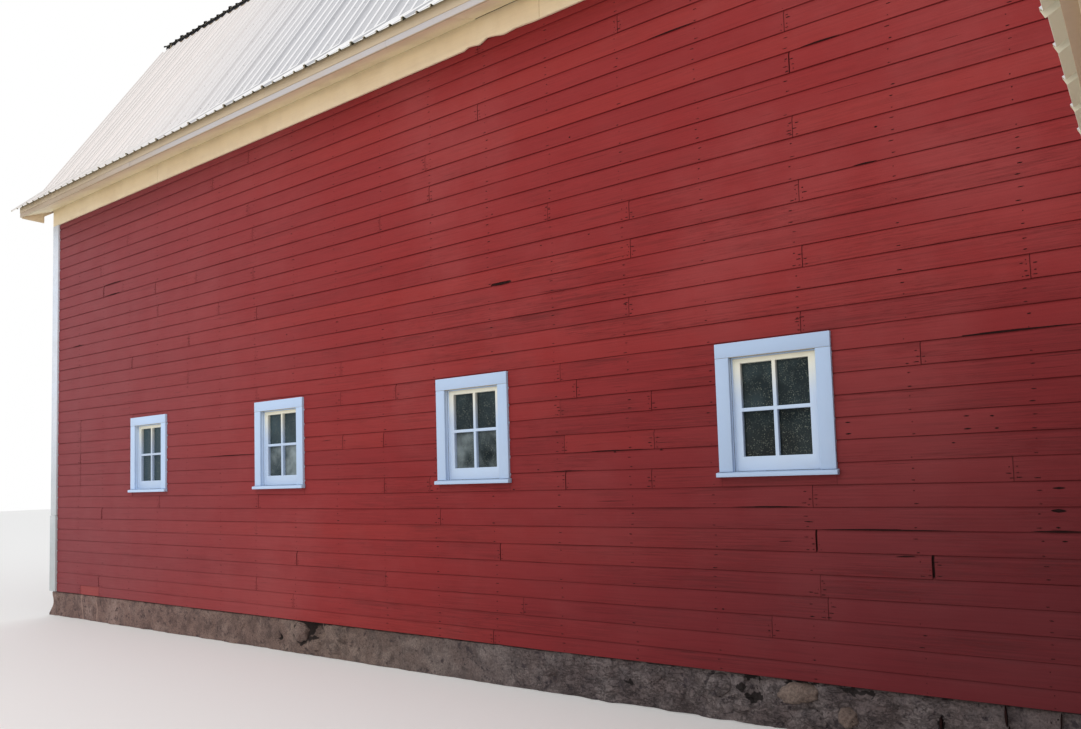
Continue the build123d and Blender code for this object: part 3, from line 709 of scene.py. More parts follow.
# Blue white, the blue painted sky light on white boards, with a foot of painted shade
cornerPaint = makeTrimPaint("corner board paint", (0.60, 0.66, 0.76, 1), (0.66, 0.68, 0.72, 1),
                            (0.42, 0.41, 0.40, 1), 0.4, (0.44, 0.48, 0.50, 1))
sashPaint = makeSashPaint()
doorRed = makeTrimPaint("door red", (0.21, 0.017, 0.019, 1), (0.25, 0.028, 0.030, 1), (0.12, 0.012, 0.013, 1))
# Near black: painted shade under the upper sheets' edge
edgeShadeTimber = makeTimber("roof edge with painted shade", (0.012, 0.012, 0.018, 1), (0.02, 0.02, 0.025, 1))
wallTimber = makeTimber("wall timber", (0.16, 0.11, 0.07, 1), (0.24, 0.18, 0.12, 1))
roofTimber = makeTimber("roof timber", (0.30, 0.22, 0.14, 1), (0.38, 0.30, 0.20, 1))
upperEdge = 3.234
roofSteel = makeRoofPaint("white roof steel")
upperSteel = makeRoofPaint("white steel with painted edge shade", True)
stoneConcrete = makeConcrete("foundation concrete", (0.150, 0.108, 0.092, 1), (0.225, 0.175, 0.150, 1),
                             (0.050, 0.037, 0.036, 1), 0.45)
fieldStone = makeConcrete("field stone", (0.150, 0.110, 0.096, 1), (0.20, 0.155, 0.135, 1),
                          (0.09, 0.066, 0.060, 1), blotch=0.6)
floorConcrete = makeConcrete("floor concrete", (0.34, 0.33, 0.31, 1), (0.42, 0.41, 0.39, 1),
                             (0.2, 0.19, 0.18, 1))
oldGlass = makeGlass()
nailIron = makeIron("nail heads", (0.050, 0.007, 0.008, 1), (0.085, 0.013, 0.014, 1), 0.0)
# Near black: dark splits, and painted shade in gaps, holes and cracks
gapShade = makeIron("dark splits and painted shade in gaps", (0.010, 0.003, 0.003, 1), (0.022, 0.005, 0.005, 1), 0.0)
# Near black: painted shade in the open rib ends
ribEndShade = makeIron("shade in rib ends", (0.020, 0.022, 0.015, 1), (0.045, 0.045, 0.033, 1), 0.0)
screwSteel = makeIron("roof screws", (0.22, 0.22, 0.23, 1), (0.12, 0.12, 0.12, 1))
print("Barn: finishes are made")

# Siding boards. Heights are above the siding's foot, and distances run from the wall's left end.
siding = {
    "firstCourse": 0.108,
    "lowPitch": 0.1324,
    "highPitch": 0.13633,
    "changeLine": 18,
    "depth": 0.018,
    "profile": ((0.0, 0.0012), (0.012, 0.0), (0.80, 0.0), (0.845, 0.0016), (0.90, 0.0048), (0.95, 0.0074),
                (1.0, 0.0085), (1.07, 0.0088)),
    "cuts": 11,
    "joint": 0.0024,
    "tuck": 0.006,
    "leastSlip": 0.0008,
    "slip": 0.0014,
    "wave": 0.0018,
    "wavePaces": (3.1, 2.3),
    "tilt": 0.0016,
    "studPitch": 0.6096,
    "studStart": -0.06,
    "boardStuds": (4, 8),
    "leastHigh": 0.012,
    "leastLong": 0.03,
    "leftRise": 0.059,
    "leftRiseEnd": 5.7,
}

# Butt joints of the front wall by course, as far right as the photograph reaches
frontJoints = {
    0: (0.62, 1.08, 7.21), 1: (1.07, 4.77), 2: (4.20, 7.51, 9.44), 3: (6.03, 9.79), 4: (4.83, 9.75),
    5: (7.30, 10.38), 6: (4.20, 9.74), 7: (1.14, 6.68), 8: (2.42, 4.24, 9.73),
    9: (0.60, 6.03, 6.57, 7.93, 8.64, 10.80), 10: (0.60,), 11: (0.60, 7.93, 8.67), 12: (0.60, 5.50, 6.03),
    13: (0.60, 7.90, 8.66), 14: (0.60, 8.05, 10.38), 15: (0.60, 5.48, 6.19, 7.91), 16: (4.23, 9.71),
    17: (5.49, 10.94), 18: (3.00, 8.51), 19: (4.22, 9.74), 20: (1.83,), 21: (3.02, 8.54), 22: (4.23, 9.74),
    23: (3.57, 8.54), 24: (2.39, 7.84), 25: (4.18, 9.72), 26: (2.34, 3.16, 6.03), 27: (1.16, 1.61, 6.63),
    28: (4.17, 9.72), 29: (1.09, 6.59), 30: (4.10, 9.70), 31: (1.72, 7.18), 33: (3.47, 8.50), 34: (4.11,),
    35: (7.20,),
}
photoReach = 11.1

# Joints that stand open, by course and distance, and boards of another tone
openJoints = {
    (28, 9.72): 0.006, (27, 1.16): 0.010, (29, 1.09): 0.005, (24, 2.39): 0.005, (21, 3.02): 0.005,
    (9, 7.93): 0.006, (8, 2.42): 0.005, (7, 1.14): 0.005, (6, 9.74): 0.010, (5, 7.30): 0.007,
    (5, 10.38): 0.014, (4, 4.83): 0.007, (1, 1.07): 0.008,
}
boardTones = {(0, 0.62): 1.5, (0, 0.0): 0.1, (26, 2.34): 0.98, (27, 1.16): 0.3}

# Gaps along the lower edge of the front wall's boards: course, start, end, height, and whether the gap's
# ends are square
frontGaps = [
    (32, 8.73, 9.11, 0.006, False), (29, 9.79, 10.04, 0.006, False), (23, 10.07, 10.21, 0.006, False),
    (21, 7.27, 7.48, 0.017, True), (15, 10.42, 11.14, 0.008, False), (8, 9.21, 9.70, 0.007, False),
    (7, 9.76, 10.5, 0.007, False), (11, 7.95, 8.64, 0.005, False), (10, 7.79, 8.1, 0.005, False),
    (27, 1.18, 1.58, 0.008, False), (28, 1.17, 1.60, 0.006, False), (23, 0.37, 0.68, 0.007, False),
    (12, 3.35, 4.2, 0.005, False), (7, 10.86, 11.12, 0.009, False),
]

# Knot holes and splits of the front wall: distance, height, length and width of each
frontHoles = [
    (4.709, 2.705, 0.016, 0.012), (10.21, 3.241, 0.020, 0.010), (8.06, 3.757, 0.016, 0.012),
    (7.304, 3.336, 0.014, 0.010), (8.20, 3.0, 0.018, 0.009), (7.77, 3.0, 0.016, 0.009),
    (9.96, 1.53, 0.032, 0.008), (9.96, 1.463, 0.036, 0.009), (10.594, 1.456, 0.040, 0.009),
    (10.592, 1.526, 0.030, 0.007), (10.717, 1.518, 0.022, 0.008), (10.736, 1.451, 0.022, 0.008),
    (10.52, 1.385, 0.020, 0.007), (11.000, 1.130, 0.060, 0.011), (10.992, 1.012, 0.070, 0.020),
    (10.985, 0.926, 0.022, 0.009), (11.01, 0.859, 0.026, 0.008), (9.12, 0.392, 0.018, 0.010),
    (8.72, 1.424, 0.020, 0.008), (7.686, 1.319, 0.018, 0.008), (8.355, 1.424, 0.018, 0.008),
    (7.36, 1.176, 0.026, 0.008), (7.448, 1.176, 0.022, 0.008), (6.76, 1.176, 0.020, 0.008),
    (2.46, 1.19, 0.045, 0.008), (8.40, 2.79, 0.30, 0.0028), (7.86, 2.64, 0.34, 0.0024),
    (5.28, 1.654, 0.14, 0.004), (10.24, 0.76, 0.11, 0.006), (9.55, 0.83, 0.09, 0.004),
    (9.70, 0.95, 0.06, 0.007),
]


def courseLine(number):
    # Height of the lower edge of a course
    if number <= 0:
        return 0.0
    if number <= siding["changeLine"]:
        return siding["firstCourse"] + siding["lowPitch"] * (number - 1)
    middle = siding["firstCourse"] + siding["lowPitch"] * (siding["changeLine"] - 1)
    return middle + siding["highPitch"] * (number - siding["changeLine"])


def modelBoard():
    # One siding board a metre long: an upright face, and a cove at its top that the next board laps over
    profile = siding["profile"]
    depth = siding["depth"]
    board = addBlock("boardPattern", (0, 0, 0), (1, depth, profile[-1][0]))
    openEdit(board, "VERT")
    for height, back in profile[1:-1]:
        cutAt((0, 0, height), (0, 0, 1))
    for height, back in profile:
        choose(board, "verts", lambda v: abs(v.co.z - height) < 0.001 and v.co.y < depth / 2)
        move((0, back, 0))
    bpy.ops.mesh.select_mode(type="EDGE")
    choose(board, "edges", alongX)
    bpy.ops.mesh.subdivide(number_cuts=siding["cuts"])
    closeEdit()
    for layer in ("boardPlace", "boardGrain", "boardEnds"):
        board.data.uv_layers.new(name=layer)
    return board


boardPattern = modelBoard()
patternPoints = np.array([tuple(vertex.co) for vertex in boardPattern.data.vertices])
patternCorners = np.array([loop.vertex_index for loop in boardPattern.data.loops])


def noRise(distance, height):
    return np.zeros_like(distance)


def leftRise(distance, height):
    # The front wall's courses climb a little towards its left end
    middle = courseLine(siding["changeLine"])
    along = np.clip(1 - distance / siding["leftRiseEnd"], 0, 1)
    return siding["leftRise"] * along * np.clip(1 - np.abs(height - middle) / middle, 0, 1)


def riseAt(rise, distance, height):
    return float(rise(np.array([distance]), np.array([height]))[0])


def layBoard(start, end, low, high, rise, tone):
    # Stretches a copy of the board between two distances and two heights of a wall
    phase = [chance.uniform(0, 6.283) for _ in range(4)]
    slip = chance.uniform(0, siding["slip"]) + siding["leastSlip"]
    lean = chance.uniform(-1, 1) * siding["tilt"]
    middle, span = (start + end) / 2, max(end - start, 0.5)
    upPace, outPace = siding["wavePaces"]

    def waveOf(distance, first, second, pace):
        long = np.sin(distance * pace + first)
        short = 0.6 * np.sin(distance * pace * 2.7 + second)
        return siding["wave"] * (long + short) / 2

    def pointsAt(distance, back, part):
        height = low + part * (high - low)
        height = height + waveOf(distance, phase[0], phase[1], upPace) + lean * (distance - middle) / span
        height = height + rise(distance, height)
        sway = waveOf(distance, phase[2], phase[3], outPace) + slip
        return np.column_stack([distance, back + sway * (back < siding["depth"] * 0.9), height])

    along, back, part = patternPoints.T
    distance = start + along * (end - start)
    twin = copyTo(boardPattern, Matrix())
    twin.data.vertices.foreach_set("co", pointsAt(distance, back, part).ravel())
    along = distance + chance.uniform(0, 60)
    drop = chance.uniform(0, 40)
    gap = np.minimum(distance - start, end - distance)
    for layer, first, second in (
        ("boardPlace", distance, part),
        ("boardGrain", along, part * (high - low) + drop),
        ("boardEnds", gap, np.full(len(gap), tone)),
    ):
        pairs = np.column_stack([first, second])[patternCorners]
        twin.data.uv_layers[layer].data.foreach_set("uv", pairs.ravel())
    return twin, pointsAt


def studJoints(start, end):
    # Butt joints on studs, a board's length apart
    joints = []
    stud = int(start / siding["studPitch"]) + chance.randint(2, siding["boardStuds"][1])
    while True:
        place = siding["studStart"] + stud * siding["studPitch"] + 0.02
        if place > end - 0.5:
            return joints
        if place > start + 0.4:
            joints.append(place)
        stud += chance.randint(*siding["boardStuds"])


def freeStretches(start, end, low, high, holes, rise):
    # Parts of a course clear of the windows and doors: start, end, and the heights where it is cut, if any
    stretches = []
    place = start
    tuck = siding["tuck"]
    for left, right, foot, head in sorted(holes):
        lift = riseAt(rise, (left + right) / 2, low)
        if right <= start or left >= end or head <= low + lift or foot >= high + lift:
            continue
        if left > place:
            stretches.append((place, left + tuck, None, None))
        if foot > low + lift + 0.008:
            stretches.append((left + tuck, right - tuck, None, foot + tuck))
        if head < high + lift - 0.008:
            stretches.append((left + tuck, right - tuck, head - tuck, None))
        place = right - tuck
    if place < end:
        stretches.append((place, end, None, None))
    return stretches


def notchBoard(board, start, end, height, square, footAt):
    # Breaks away a board's lower edge between two distances
    edge = 0.012 if square else 0.38 * (end - start)
    for place in (start, start + edge, end - edge, end):
        cutLine(board, (place, 0, 0), (1, 0, 0))
    openEdit(board, "VERT")
    choose(board, "verts", lambda v: start + edge - 0.002 < v.co.x < end - edge + 0.002
           and v.co.z < footAt(v.co.x) + 0.007)
    move((0, 0, height))
    closeEdit()


# Nails and splits. A nail's height is a part of its board's, and how many there are is drawn.
marks = {
    "studNails": (0.14, 0.66),
    "studCounts": (1, 2, 2, 2),
    "studStray": 0.012,
    "endNails": (0.12, 0.35, 0.58, 0.74),
    "endCounts": (2, 3, 3, 4),
    "endIn": (0.014, 0.026),
    "nailRadius": (0.0042, 0.0055),
    "nailThick": 0.0024,
    "splitThick": 0.0016,
    "splitLength": (0.012, 0.034),
    "splitHeight": (0.0035, 0.0075),
    "fieldSplits": 0.25,
    "wornSplits": 0.7,
}


def nailSpots(start, end, endNails):
    # Nails over the studs of a board, and more of them beside its joints: distance and part of its height
    spots = []
    stud = math.ceil((start - siding["studStart"]) / siding["studPitch"])
    stray = marks["studStray"]
    while siding["studStart"] + stud * siding["studPitch"] < end:
        distance = siding["studStart"] + stud * siding["studPitch"] + chance.uniform(-stray, stray)
        for part in marks["studNails"][: chance.choice(marks["studCounts"])]:
            spots.append((distance, part + chance.uniform(-0.06, 0.06)))
        stud += 1
    for side, distance in endNails:
        for part in marks["endNails"][: chance.choice(marks["endCounts"])]:
            place = distance + side * chance.uniform(*marks["endIn"])
            spots.append((place, part + chance.uniform(-0.04, 0.04)))
    return [(distance, part) for distance, part in spots if start + 0.008 < distance < end - 0.008]


def modelNail():
    # A nail head that the paint has left dark
    nail = addNew("nailPattern", bpy.ops.mesh.primitive_cone_add, vertices=5, radius1=1, radius2=0.7, depth=1,
                  rotation=(math.radians(90), 0, 0))
    applyPlace(nail)
    return nail


def modelSplit():
    # A pointed dark split, a unit long and high
    split = addNew("splitPattern", bpy.ops.mesh.primitive_circle_add, vertices=8, radius=0.5,
                   fill_type="NGON", rotation=(math.radians(90), 0, 0))
    applyPlace(split)
    openEdit(split, "VERT")
    choose(split, "verts", lambda v: 0.1 < abs(v.co.x) < 0.4)
    bpy.ops.transform.resize(value=(1.0, 1.0, 0.72), center_override=(0, 0, 0))
    bpy.ops.mesh.select_mode(type="FACE")
    chooseAll()
    extrude((0, 1, 0))
    faceOut()
    return split


nailPattern = modelNail()
splitPattern = modelSplit()


def placeMark(point, length, height, thick, turn=0.0):
    size = Matrix.Diagonal((length, thick, height, 1))
    return Matrix.Translation(point) @ Matrix.Rotation(turn, 4, "Y") @ size


def markBoard(a, b, endNails, face, wornFrom, nails, splits):
    # Nail heads on one board, some of them with a split through them
    for distance, part in nailSpots(a, b, endNails):
        point = face(distance, part)
        radius = chance.uniform(*marks["nailRadius"])
        nails.append(placeMark(point, radius, radius, marks["nailThick"]))
        odds = marks["wornSplits"] if distance > wornFrom else marks["fieldSplits"]
        if chance.random() < odds:
            length = chance.uniform(*marks["splitLength"])
            height = chance.uniform(*marks["splitHeight"])
            place = (point[0] + chance.uniform(-0.4, 0.4) * length, point[1] - 0.0008, point[2])
            splits.append(placeMark(place, length, height, marks["splitThick"], chance.uniform(-0.06, 0.06)))


def gapsIn(board, number, a, b, face, gaps):
    # Breaks the board's lower edge where the wall has gaps, and gives dark strips of painted shade behind
    # them
    strips = []
    for course, gapStart, gapEnd, height, square in gaps:
        if course == number and a < gapStart + 0.03 and gapEnd - 0.03 < b:
            gapA, gapB = max(gapStart, a + 0.01), min(gapEnd, b - 0.01)
            notchBoard(board, gapA, gapB, height, square, lambda x: face(x, 0.0)[2])
            foot = face((gapA + gapB) / 2, 0.0)
            middle = (foot[0], foot[1] - 0.0006, foot[2] + height * 0.35)
            strips.append(placeMark(middle, gapB - gapA, height * 1.25, marks["splitThick"]))
    return strips


def clothe(name, wallPlace, courses, joints=None, holes=(), rise=noRise, gaps=(), openings=(), reachTo=0.0,
           roofCuts=(), wornFrom=99.0):
    # Lays a wall's boards course by course: courses gives number, start, end and top of each
    boards, nails, splits = [], [], []
    thick = marks["splitThick"]
    for number, start, end, top in courses:
        low = courseLine(number)
        high = min(courseLine(number + 1), top)
        if high - low < siding["leastHigh"]:
            continue
        chosen = [place for place in (joints or {}).get(number, ()) if start + 0.1 < place < end - 0.1]
        chosen += studJoints(max(start, reachTo), end)
        bounds = [start] + sorted(chosen) + [end]
        for left, right in zip(bounds[:-1], bounds[1:]):
            wide = siding["joint"] * chance.uniform(0.5, 1.3)
            openLeft = openJoints.get((number, left), siding["joint"]) / 2 if joints and left > start else 0
            openRight = openJoints.get((number, right), wide) / 2 if right < end else 0
            tone = boardTones.get((number, left), chance.random()) if joints else chance.random()
            # A dark strip of painted shade behind an open joint
            if joints and (number, left) in openJoints:
                behind = (left, siding["depth"] - 0.004, (low + high) / 2 + riseAt(rise, left, low))
                splits.append(placeMark(behind, 0.05, (high - low) * 1.3, thick))
            free = freeStretches(left + openLeft, right - openRight, low, high, holes, rise)
            for a, b, cutFoot, cutHead in free:
                if b - a < siding["leastLong"]:
                    continue
                board, pointsAt = layBoard(a, b, low, high, rise, tone)
                boards.append(board)
                if cutHead is not None:
                    cutAway(board, (0, 0, cutHead), (0, 0, 1))
                if cutFoot is not None:
                    cutAway(board, (0, 0, cutFoot), (0, 0, -1))
                if cutFoot is not None or cutHead is not None:
                    continue

                def face(distance, part):
                    return pointsAt(np.array([distance]), np.array([0.0]), np.array([part]))[0]

                splits += gapsIn(board, number, a, b, face, gaps)
                endNails = [(1, left)] * (left > start and a < left + 0.02)
                endNails += [(-1, right)] * (right < end and b > right - 0.02)
                markBoard(a, b, endNails, face, wornFrom, nails, splits)
                # Dark marks of painted shade in the knot holes and splits
                for distance, height, length, width in openings:
                    part = (height - low - riseAt(rise, distance, height)) / (high - low)
                    if 0 < part < 1 and a < distance < b:
                        point = face(distance, part) - np.array([0, 0.001, 0])
                        splits.append(placeMark(point, length, width, thick * 2, chance.uniform(-0.08, 0.08)))
    wall = joinAll(name, boards)
    for point, normal in roofCuts:
        cutAway(wall, point, normal)
    shadeByAngle(wall, 34)

    def underRoof(place):
        return all((place.translation - Vector(point)).dot(Vector(normal)) < 0 for point, normal in roofCuts)

    made = [wall]
    for label, pattern, places in (("Nails", nailPattern, nails), ("Splits", splitPattern, splits)):
        made.append(scatter(name + label, pattern, [place for place in places if underRoof(place)]))
    for piece in made:
        piece.data.transform(wallPlace)
    return made


# Where the windows stand, read off the frame's panes: middle, width and height, and which way each looks

def readWindows():
    panes = bmesh.new()
    panes.from_mesh(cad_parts["window_glass"].data)
    bmesh.ops.remove_doubles(panes, verts=panes.verts, dist=0.0001)
    left = set(panes.verts)
    found = []
    while left:
        group = set()
        waiting = [left.pop()]
        while waiting:
            vertex = waiting.pop()
            group.add(vertex)
            others = {edge.other_vert(vertex) for edge in vertex.link_edges} & left
            left -= others
            waiting += others
        corners = [Vector(tuple(pick(v.co[axis] for v in group) for axis in range(3))) for pick in (min, max)]
        found.append(corners)
    panes.free()
    return sorted(found, key=lambda pair: tuple(pair[0]))


windowSize = {
    "width": 0.741,
    "height": 0.835,
    "sideCasing": 0.092,
    "headCasing": 0.093,
    "casingProud": 0.021,
    "casingBack": 0.019,
    "liningFront": 0.0195,
    "headProud": 0.0012,
    "casingGap": 0.0012,
    "sillFoot": -0.019,
    "sillHead": 0.014,
    "sillHorn": 0.013,
    "sillProud": 0.046,
    "sillSlope": 0.007,
    "wallDepth": 0.16,
    "jamb": 0.010,
    "sashFace": 0.025,
    "sashDepth": 0.037,
    "muntin": 0.023,
    "glassHalf": 0.2195,
    "glassFoot": 0.107,
    "glassHead": 0.702,
}


def wallMatrix(corner, heading):
    return Matrix.Translation(corner) @ Matrix.Rotation(math.radians(heading), 4, "Z")


def windowPlaces():
    # A matrix for each window, whose origin is the middle of its sill's underside on the siding's face
    places = []
    for low, high in readWindows():
        middle = (low + high) / 2
        foot = low.z - windowSize["glassFoot"]
        facesY = high.x - low.x > high.y - low.y
        if facesY and middle.y < 0:
            spot, turn = (middle.x, frontFace, foot), 0
        elif facesY:
            spot, turn = (middle.x, backFace, foot), 180
        else:
            ends = (leftFace, rightFace) if abs(middle.y) < -frontFace else (wingLeft, wingRight)
            nearest = min(ends, key=lambda end: abs(middle.x - end))
            spot, turn = (nearest, middle.y, foot), -90 if nearest == ends[0] else 90
        places.append(wallMatrix(spot, turn))
    return places


windowSpots = windowPlaces()
print("Barn: windows read from the frame:", len(windowSpots))


def windowHoles(wallPlace, length):
    # The windows of one wall as rectangles on it: left, right, foot and head
    holes = []
    inverse = wallPlace.inverted()
    for spot in windowSpots:
        local = inverse @ spot.translation
        outward = inverse.to_3x3() @ spot.to_3x3() @ Vector((0, -1, 0))
        if abs(local.y) < 0.01 and outward.y < -0.9 and -0.1 < local.x < length + 0.1:
            half = windowSize["width"] / 2
            holes.append((local.x - half, local.x + half, local.z, local.z + windowSize["height"]))
    return holes


cornerBoard = {
    "width": 0.143,
    "proud": 0.020,
    "sideGap": 0.0015,
    "jointHeight": 0.96,
    "jointGap": 0.004,
    "lowerExtra": 0.008,
}
insideCorner = cornerBoard["width"] - cornerBoard["proud"]
sidingThick = 0.02

# The main roof's section, as the line its sheets lie on. Distances run inwards from the siding's face,
# and the section's points are (y, z).
roofShape = {
    "eaveOverhang": 0.430,
    "eaveDrop": 0.067,
    "kickRun": 0.382,
    "kickRise": 0.363,
    "lowerPitch": math.radians(57),
    "upperPitch": math.radians(30),
    "upperRun": 1.689,
    "upperLift": 0.063,
    "upperInset": 0.030,
    "deck": 0.150,
    "upperDeck": 0.115,
    "sheetTuck": 0.055,
    "ribTurn": math.radians(50),
}
eaveTip = (frontFace - roofShape["eaveOverhang"], plateLevel - roofShape["eaveDrop"])
kickPoint = (eaveTip[0] + roofShape["kickRun"], eaveTip[1] + roofShape["kickRise"])


def flareHeight(y):
    return eaveTip[1] + (y - eaveTip[0]) * roofShape["kickRise"] / roofShape["kickRun"]


def lowerHeight(y):
    return kickPoint[1] + (y - kickPoint[0]) * math.tan(roofShape["lowerPitch"])


upperTip = (kickPoint[0] + roofShape["upperRun"],
            lowerHeight(kickPoint[0] + roofShape["upperRun"]) + roofShape["upperLift"])


def upperHeight(y):
    return upperTip[1] + (y - upperTip[0]) * math.tan(roofShape["upperPitch"])


ridgePoint = (0.0, upperHeight(0.0))
upperStart = upperTip[0] + roofShape["upperInset"]


def coursesUpTo(top, bounds):
    # The courses below a height, each from start to end: bounds gives those for a course
    rows = []
    number = 0
    while courseLine(number) < top:
        rows.append((number, *bounds(number)))
        number += 1
    return rows


def wallCourses(length, top):
    return coursesUpTo(top - 0.01, lambda number: (0.0, length, top))


def gableCourses(halfLow, halfHigh):
    # Courses of a gable, as wide as the wall up to the plate and cut to the roof later
    def bounds(number):
        half = halfLow if floorLevel + courseLine(number + 1) < sidingTop + 0.02 else halfHigh
        return halfHigh - half, halfHigh + half, 99.0

    return coursesUpTo(ridgePoint[1] - floorLevel, bounds)


def gableCuts(halfSpan):
    # Planes just under the roof boards of the four slopes, in the wall's own distances
    cuts = []
    for side in (1, -1):
        for point, pitch, inset in (
            (kickPoint, roofShape["lowerPitch"], roofShape["deck"] - 0.03),
            (ridgePoint, roofShape["upperPitch"], roofShape["upperDeck"] - 0.03),
        ):
            place = (halfSpan - side * point[0], 0, point[1] - inset / math.cos(pitch) - floorLevel)
            cuts.append((place, (side * math.sin(pitch), 0, math.cos(pitch))))
    return cuts


wallTop = sidingTop - floorLevel
frontLength = sidingHigh.x - sidingLow.x
frontPlace = wallMatrix((sidingLow.x, frontFace, floorLevel), 0)
backPlace = wallMatrix((backHigh.x, backFace, floorLevel), 180)
gableHalf = -frontFace - sidingThick
gableHalfLow = -frontFace - insideCorner
leftPlace = wallMatrix((leftFace, gableHalf, floorLevel), -90)
rightPlace = wallMatrix((rightFace, -gableHalf, floorLevel), 90)

longCourses = wallCourses(frontLength, wallTop + 0.035)
frontWall = clothe(
    "frontSiding", frontPlace, longCourses, frontJoints, windowHoles(frontPlace, frontLength), leftRise,
    frontGaps, frontHoles, photoReach, wornFrom=6.2)
backWall = clothe("backSiding", backPlace, longCourses, holes=windowHoles(backPlace, frontLength))
print("Barn: long walls are clothed")

barnDoor = {
    "half": 1.50,
    "height": 3.0,
    "leafHeight": 3.06,
    "leafWidth": 1.56,
    "gap": 0.005,
    "planks": 11,
    "plankGap": 0.003,
    "planksFace": 0.012,
    "battenWidth": 0.145,
    "battenHeights": (0.12, 1.46, 2.79),
    "out": 0.05,
    "leafBack": -0.01,
    "trackFoot": 3.366,
    "trackHead": 3.476,
    "trackHalf": 3.12,
    "trackOut": 0.075,
    "trackThick": 0.012,
    "trackLip": 0.085,
    "trackGap": 0.0005,
}
doorHole = (gableHalf - barnDoor["half"], gableHalf + barnDoor["half"], -0.1, barnDoor["height"])
leftWall = clothe(
    "leftGableSiding", leftPlace, gableCourses(gableHalfLow, gableHalf),
    holes=windowHoles(leftPlace, 2 * gableHalf), roofCuts=gableCuts(gableHalf))
rightWall = clothe(
    "rightGableSiding", rightPlace, gableCourses(gableHalfLow, gableHalf),
    holes=windowHoles(rightPlace, 2 * gableHalf) + [doorHole], roofCuts=gableCuts(gableHalf))
print("Barn: gables are clothed")

wing = {
    "eaveHeight": 2.256,
    "eaveOverhang": 0.397,
    "fasciaOverhang": 0.363,
    "fasciaHeight": 0.134,
    "pitch": math.radians(30),
    "deck": 0.120,
    "soffit": 0.015,
    "rakeOverhang": 0.124,
    "sheetOverhang": 0.215,
    "firstRib": -0.0742,
    "ribSize": 0.72,
    "doorHalf": 0.45,
    "doorHeight": 2.03,
    "doorCasing": 0.095,
    "doorRecess": 0.030,
    "doorDepth": 0.044,
    "doorPanels": ((0.22, 0.92), (1.06, 1.90)),
    "panelEdge": 0.11,
    "panelBevel": 0.012,
    "panelDepth": 0.010,
}
wingDepth = frontFace - wingFront
wingWidth = wingRight - wingLeft


def wingHeight(distance):
    # Height of the wing's sheets at a distance inwards from its wall
    return wing["eaveHeight"] + (distance + wing["eaveOverhang"]) * math.tan(wing["pitch"])


soffitDrop = (wing["deck"] + wing["soffit"]) / math.cos(wing["pitch"])
wingTop = wingHeight(0) - soffitDrop - floorLevel + 0.004
wingRidge = wingHeight(wingWidth / 2)
wingLeftPlace = wallMatrix((wingLeft, frontFace, floorLevel), -90)
wingRightPlace = wallMatrix((wingRight, wingFront + insideCorner, floorLevel), 90)
wingGablePlace = wallMatrix((wingLeft + sidingThick, wingFront, floorLevel), 0)
wingSpan = wingWidth - 2 * sidingThick
sideSpan = wingDepth - insideCorner


def wingGableCourses():
    def bounds(number):
        inset = insideCorner - sidingThick if courseLine(number) < wingTop - 0.05 else 0.0
        return inset, wingSpan - inset, 99.0

    return coursesUpTo(wingRidge - wing["deck"] - floorLevel, bounds)


def wingGableCuts():
    drop = (wing["deck"] - 0.02) / math.cos(wing["pitch"])
    point = (wingSpan / 2, 0, wingRidge - drop - floorLevel)
    return [(point, (side * math.sin(wing["pitch"]), 0, math.cos(wing["pitch"]))) for side in (1, -1)]


doorSpan = wing["doorHalf"] + wing["doorCasing"]
doorHead = wing["doorHeight"] + wing["doorCasing"]
wingDoorHole = (wingSpan / 2 - doorSpan, wingSpan / 2 + doorSpan, -0.1, doorHead)
wingCourses = wallCourses(sideSpan, wingTop)
wingWalls = [
    clothe("wingLeft", wingLeftPlace, wingCourses, holes=windowHoles(wingLeftPlace, sideSpan)),
    clothe("wingRight", wingRightPlace, wingCourses, holes=windowHoles(wingRightPlace, sideSpan)),
    clothe("wingGable", wingGablePlace, wingGableCourses(), holes=[wingDoorHole], roofCuts=wingGableCuts()),
]
wingSiding = joinAll("wingSiding", [made[0] for made in wingWalls])
everyWall = [frontWall, backWall, leftWall, rightWall] + wingWalls
nailHeads = joinAll("nailHeads", [made[1] for made in everyWall])
boardSplitsAndShade = joinAll("boardSplitsAndShade", [made[2] for made in everyWall])
discard(boardPattern, nailPattern)
for piece, nodeName in (
    (frontWall[0], "front_siding"),
    (backWall[0], "back_siding"),
    (leftWall[0], "left_gable_siding"),
    (rightWall[0], "right_gable_siding"),
    (wingSiding, "wing_siding"),
):
    dress(piece, barnRed, "red_siding", nodeName)
dress(nailHeads, nailIron, "red_siding")
dress(boardSplitsAndShade, gapShade, "red_siding")
print("Barn: the wing is clothed")


# Corner boards: two boards of an L, in an upper and a lower length

def modelCorner(height):
    width, proud = cornerBoard["width"], cornerBoard["proud"]
    thick = sidingThick + proud
    joint = cornerBoard["jointHeight"]
    parts = []
    for low, high, extra in (
        (0.0, joint - cornerBoard["jointGap"], cornerBoard["lowerExtra"]),
        (joint, height, 0.0),
    ):
        parts.append(addBlock("cornerFront", (-extra, -extra / 2, low), (width, thick, high)))
        side = (-extra / 2, thick + cornerBoard["sideGap"], low)
        parts.append(addBlock("cornerSide", side, (thick, width, high)))
    return soften(joinAll("cornerPattern", parts), 0.003)


def makeCorners():
    proud = cornerBoard["proud"]
    outX, outY = rightFace + proud, -frontFace + proud
    tall = modelCorner(wallTop)
    spots = [((-outX, -outY), 0), ((outX, -outY), 90), ((outX, outY), 180), ((-outX, outY), 270)]
    parts = [copyTo(tall, wallMatrix((x, y, floorLevel), turn)) for (x, y), turn in spots]
    short = modelCorner(wingHeight(-proud) - soffitDrop - floorLevel)
    for x, turn in ((wingLeft - proud, 0), (wingRight + proud, 90)):
        parts.append(copyTo(short, wallMatrix((x, wingFront - proud, floorLevel), turn)))
    discard(tall, short)
    return joinAll("cornerBoards", parts)


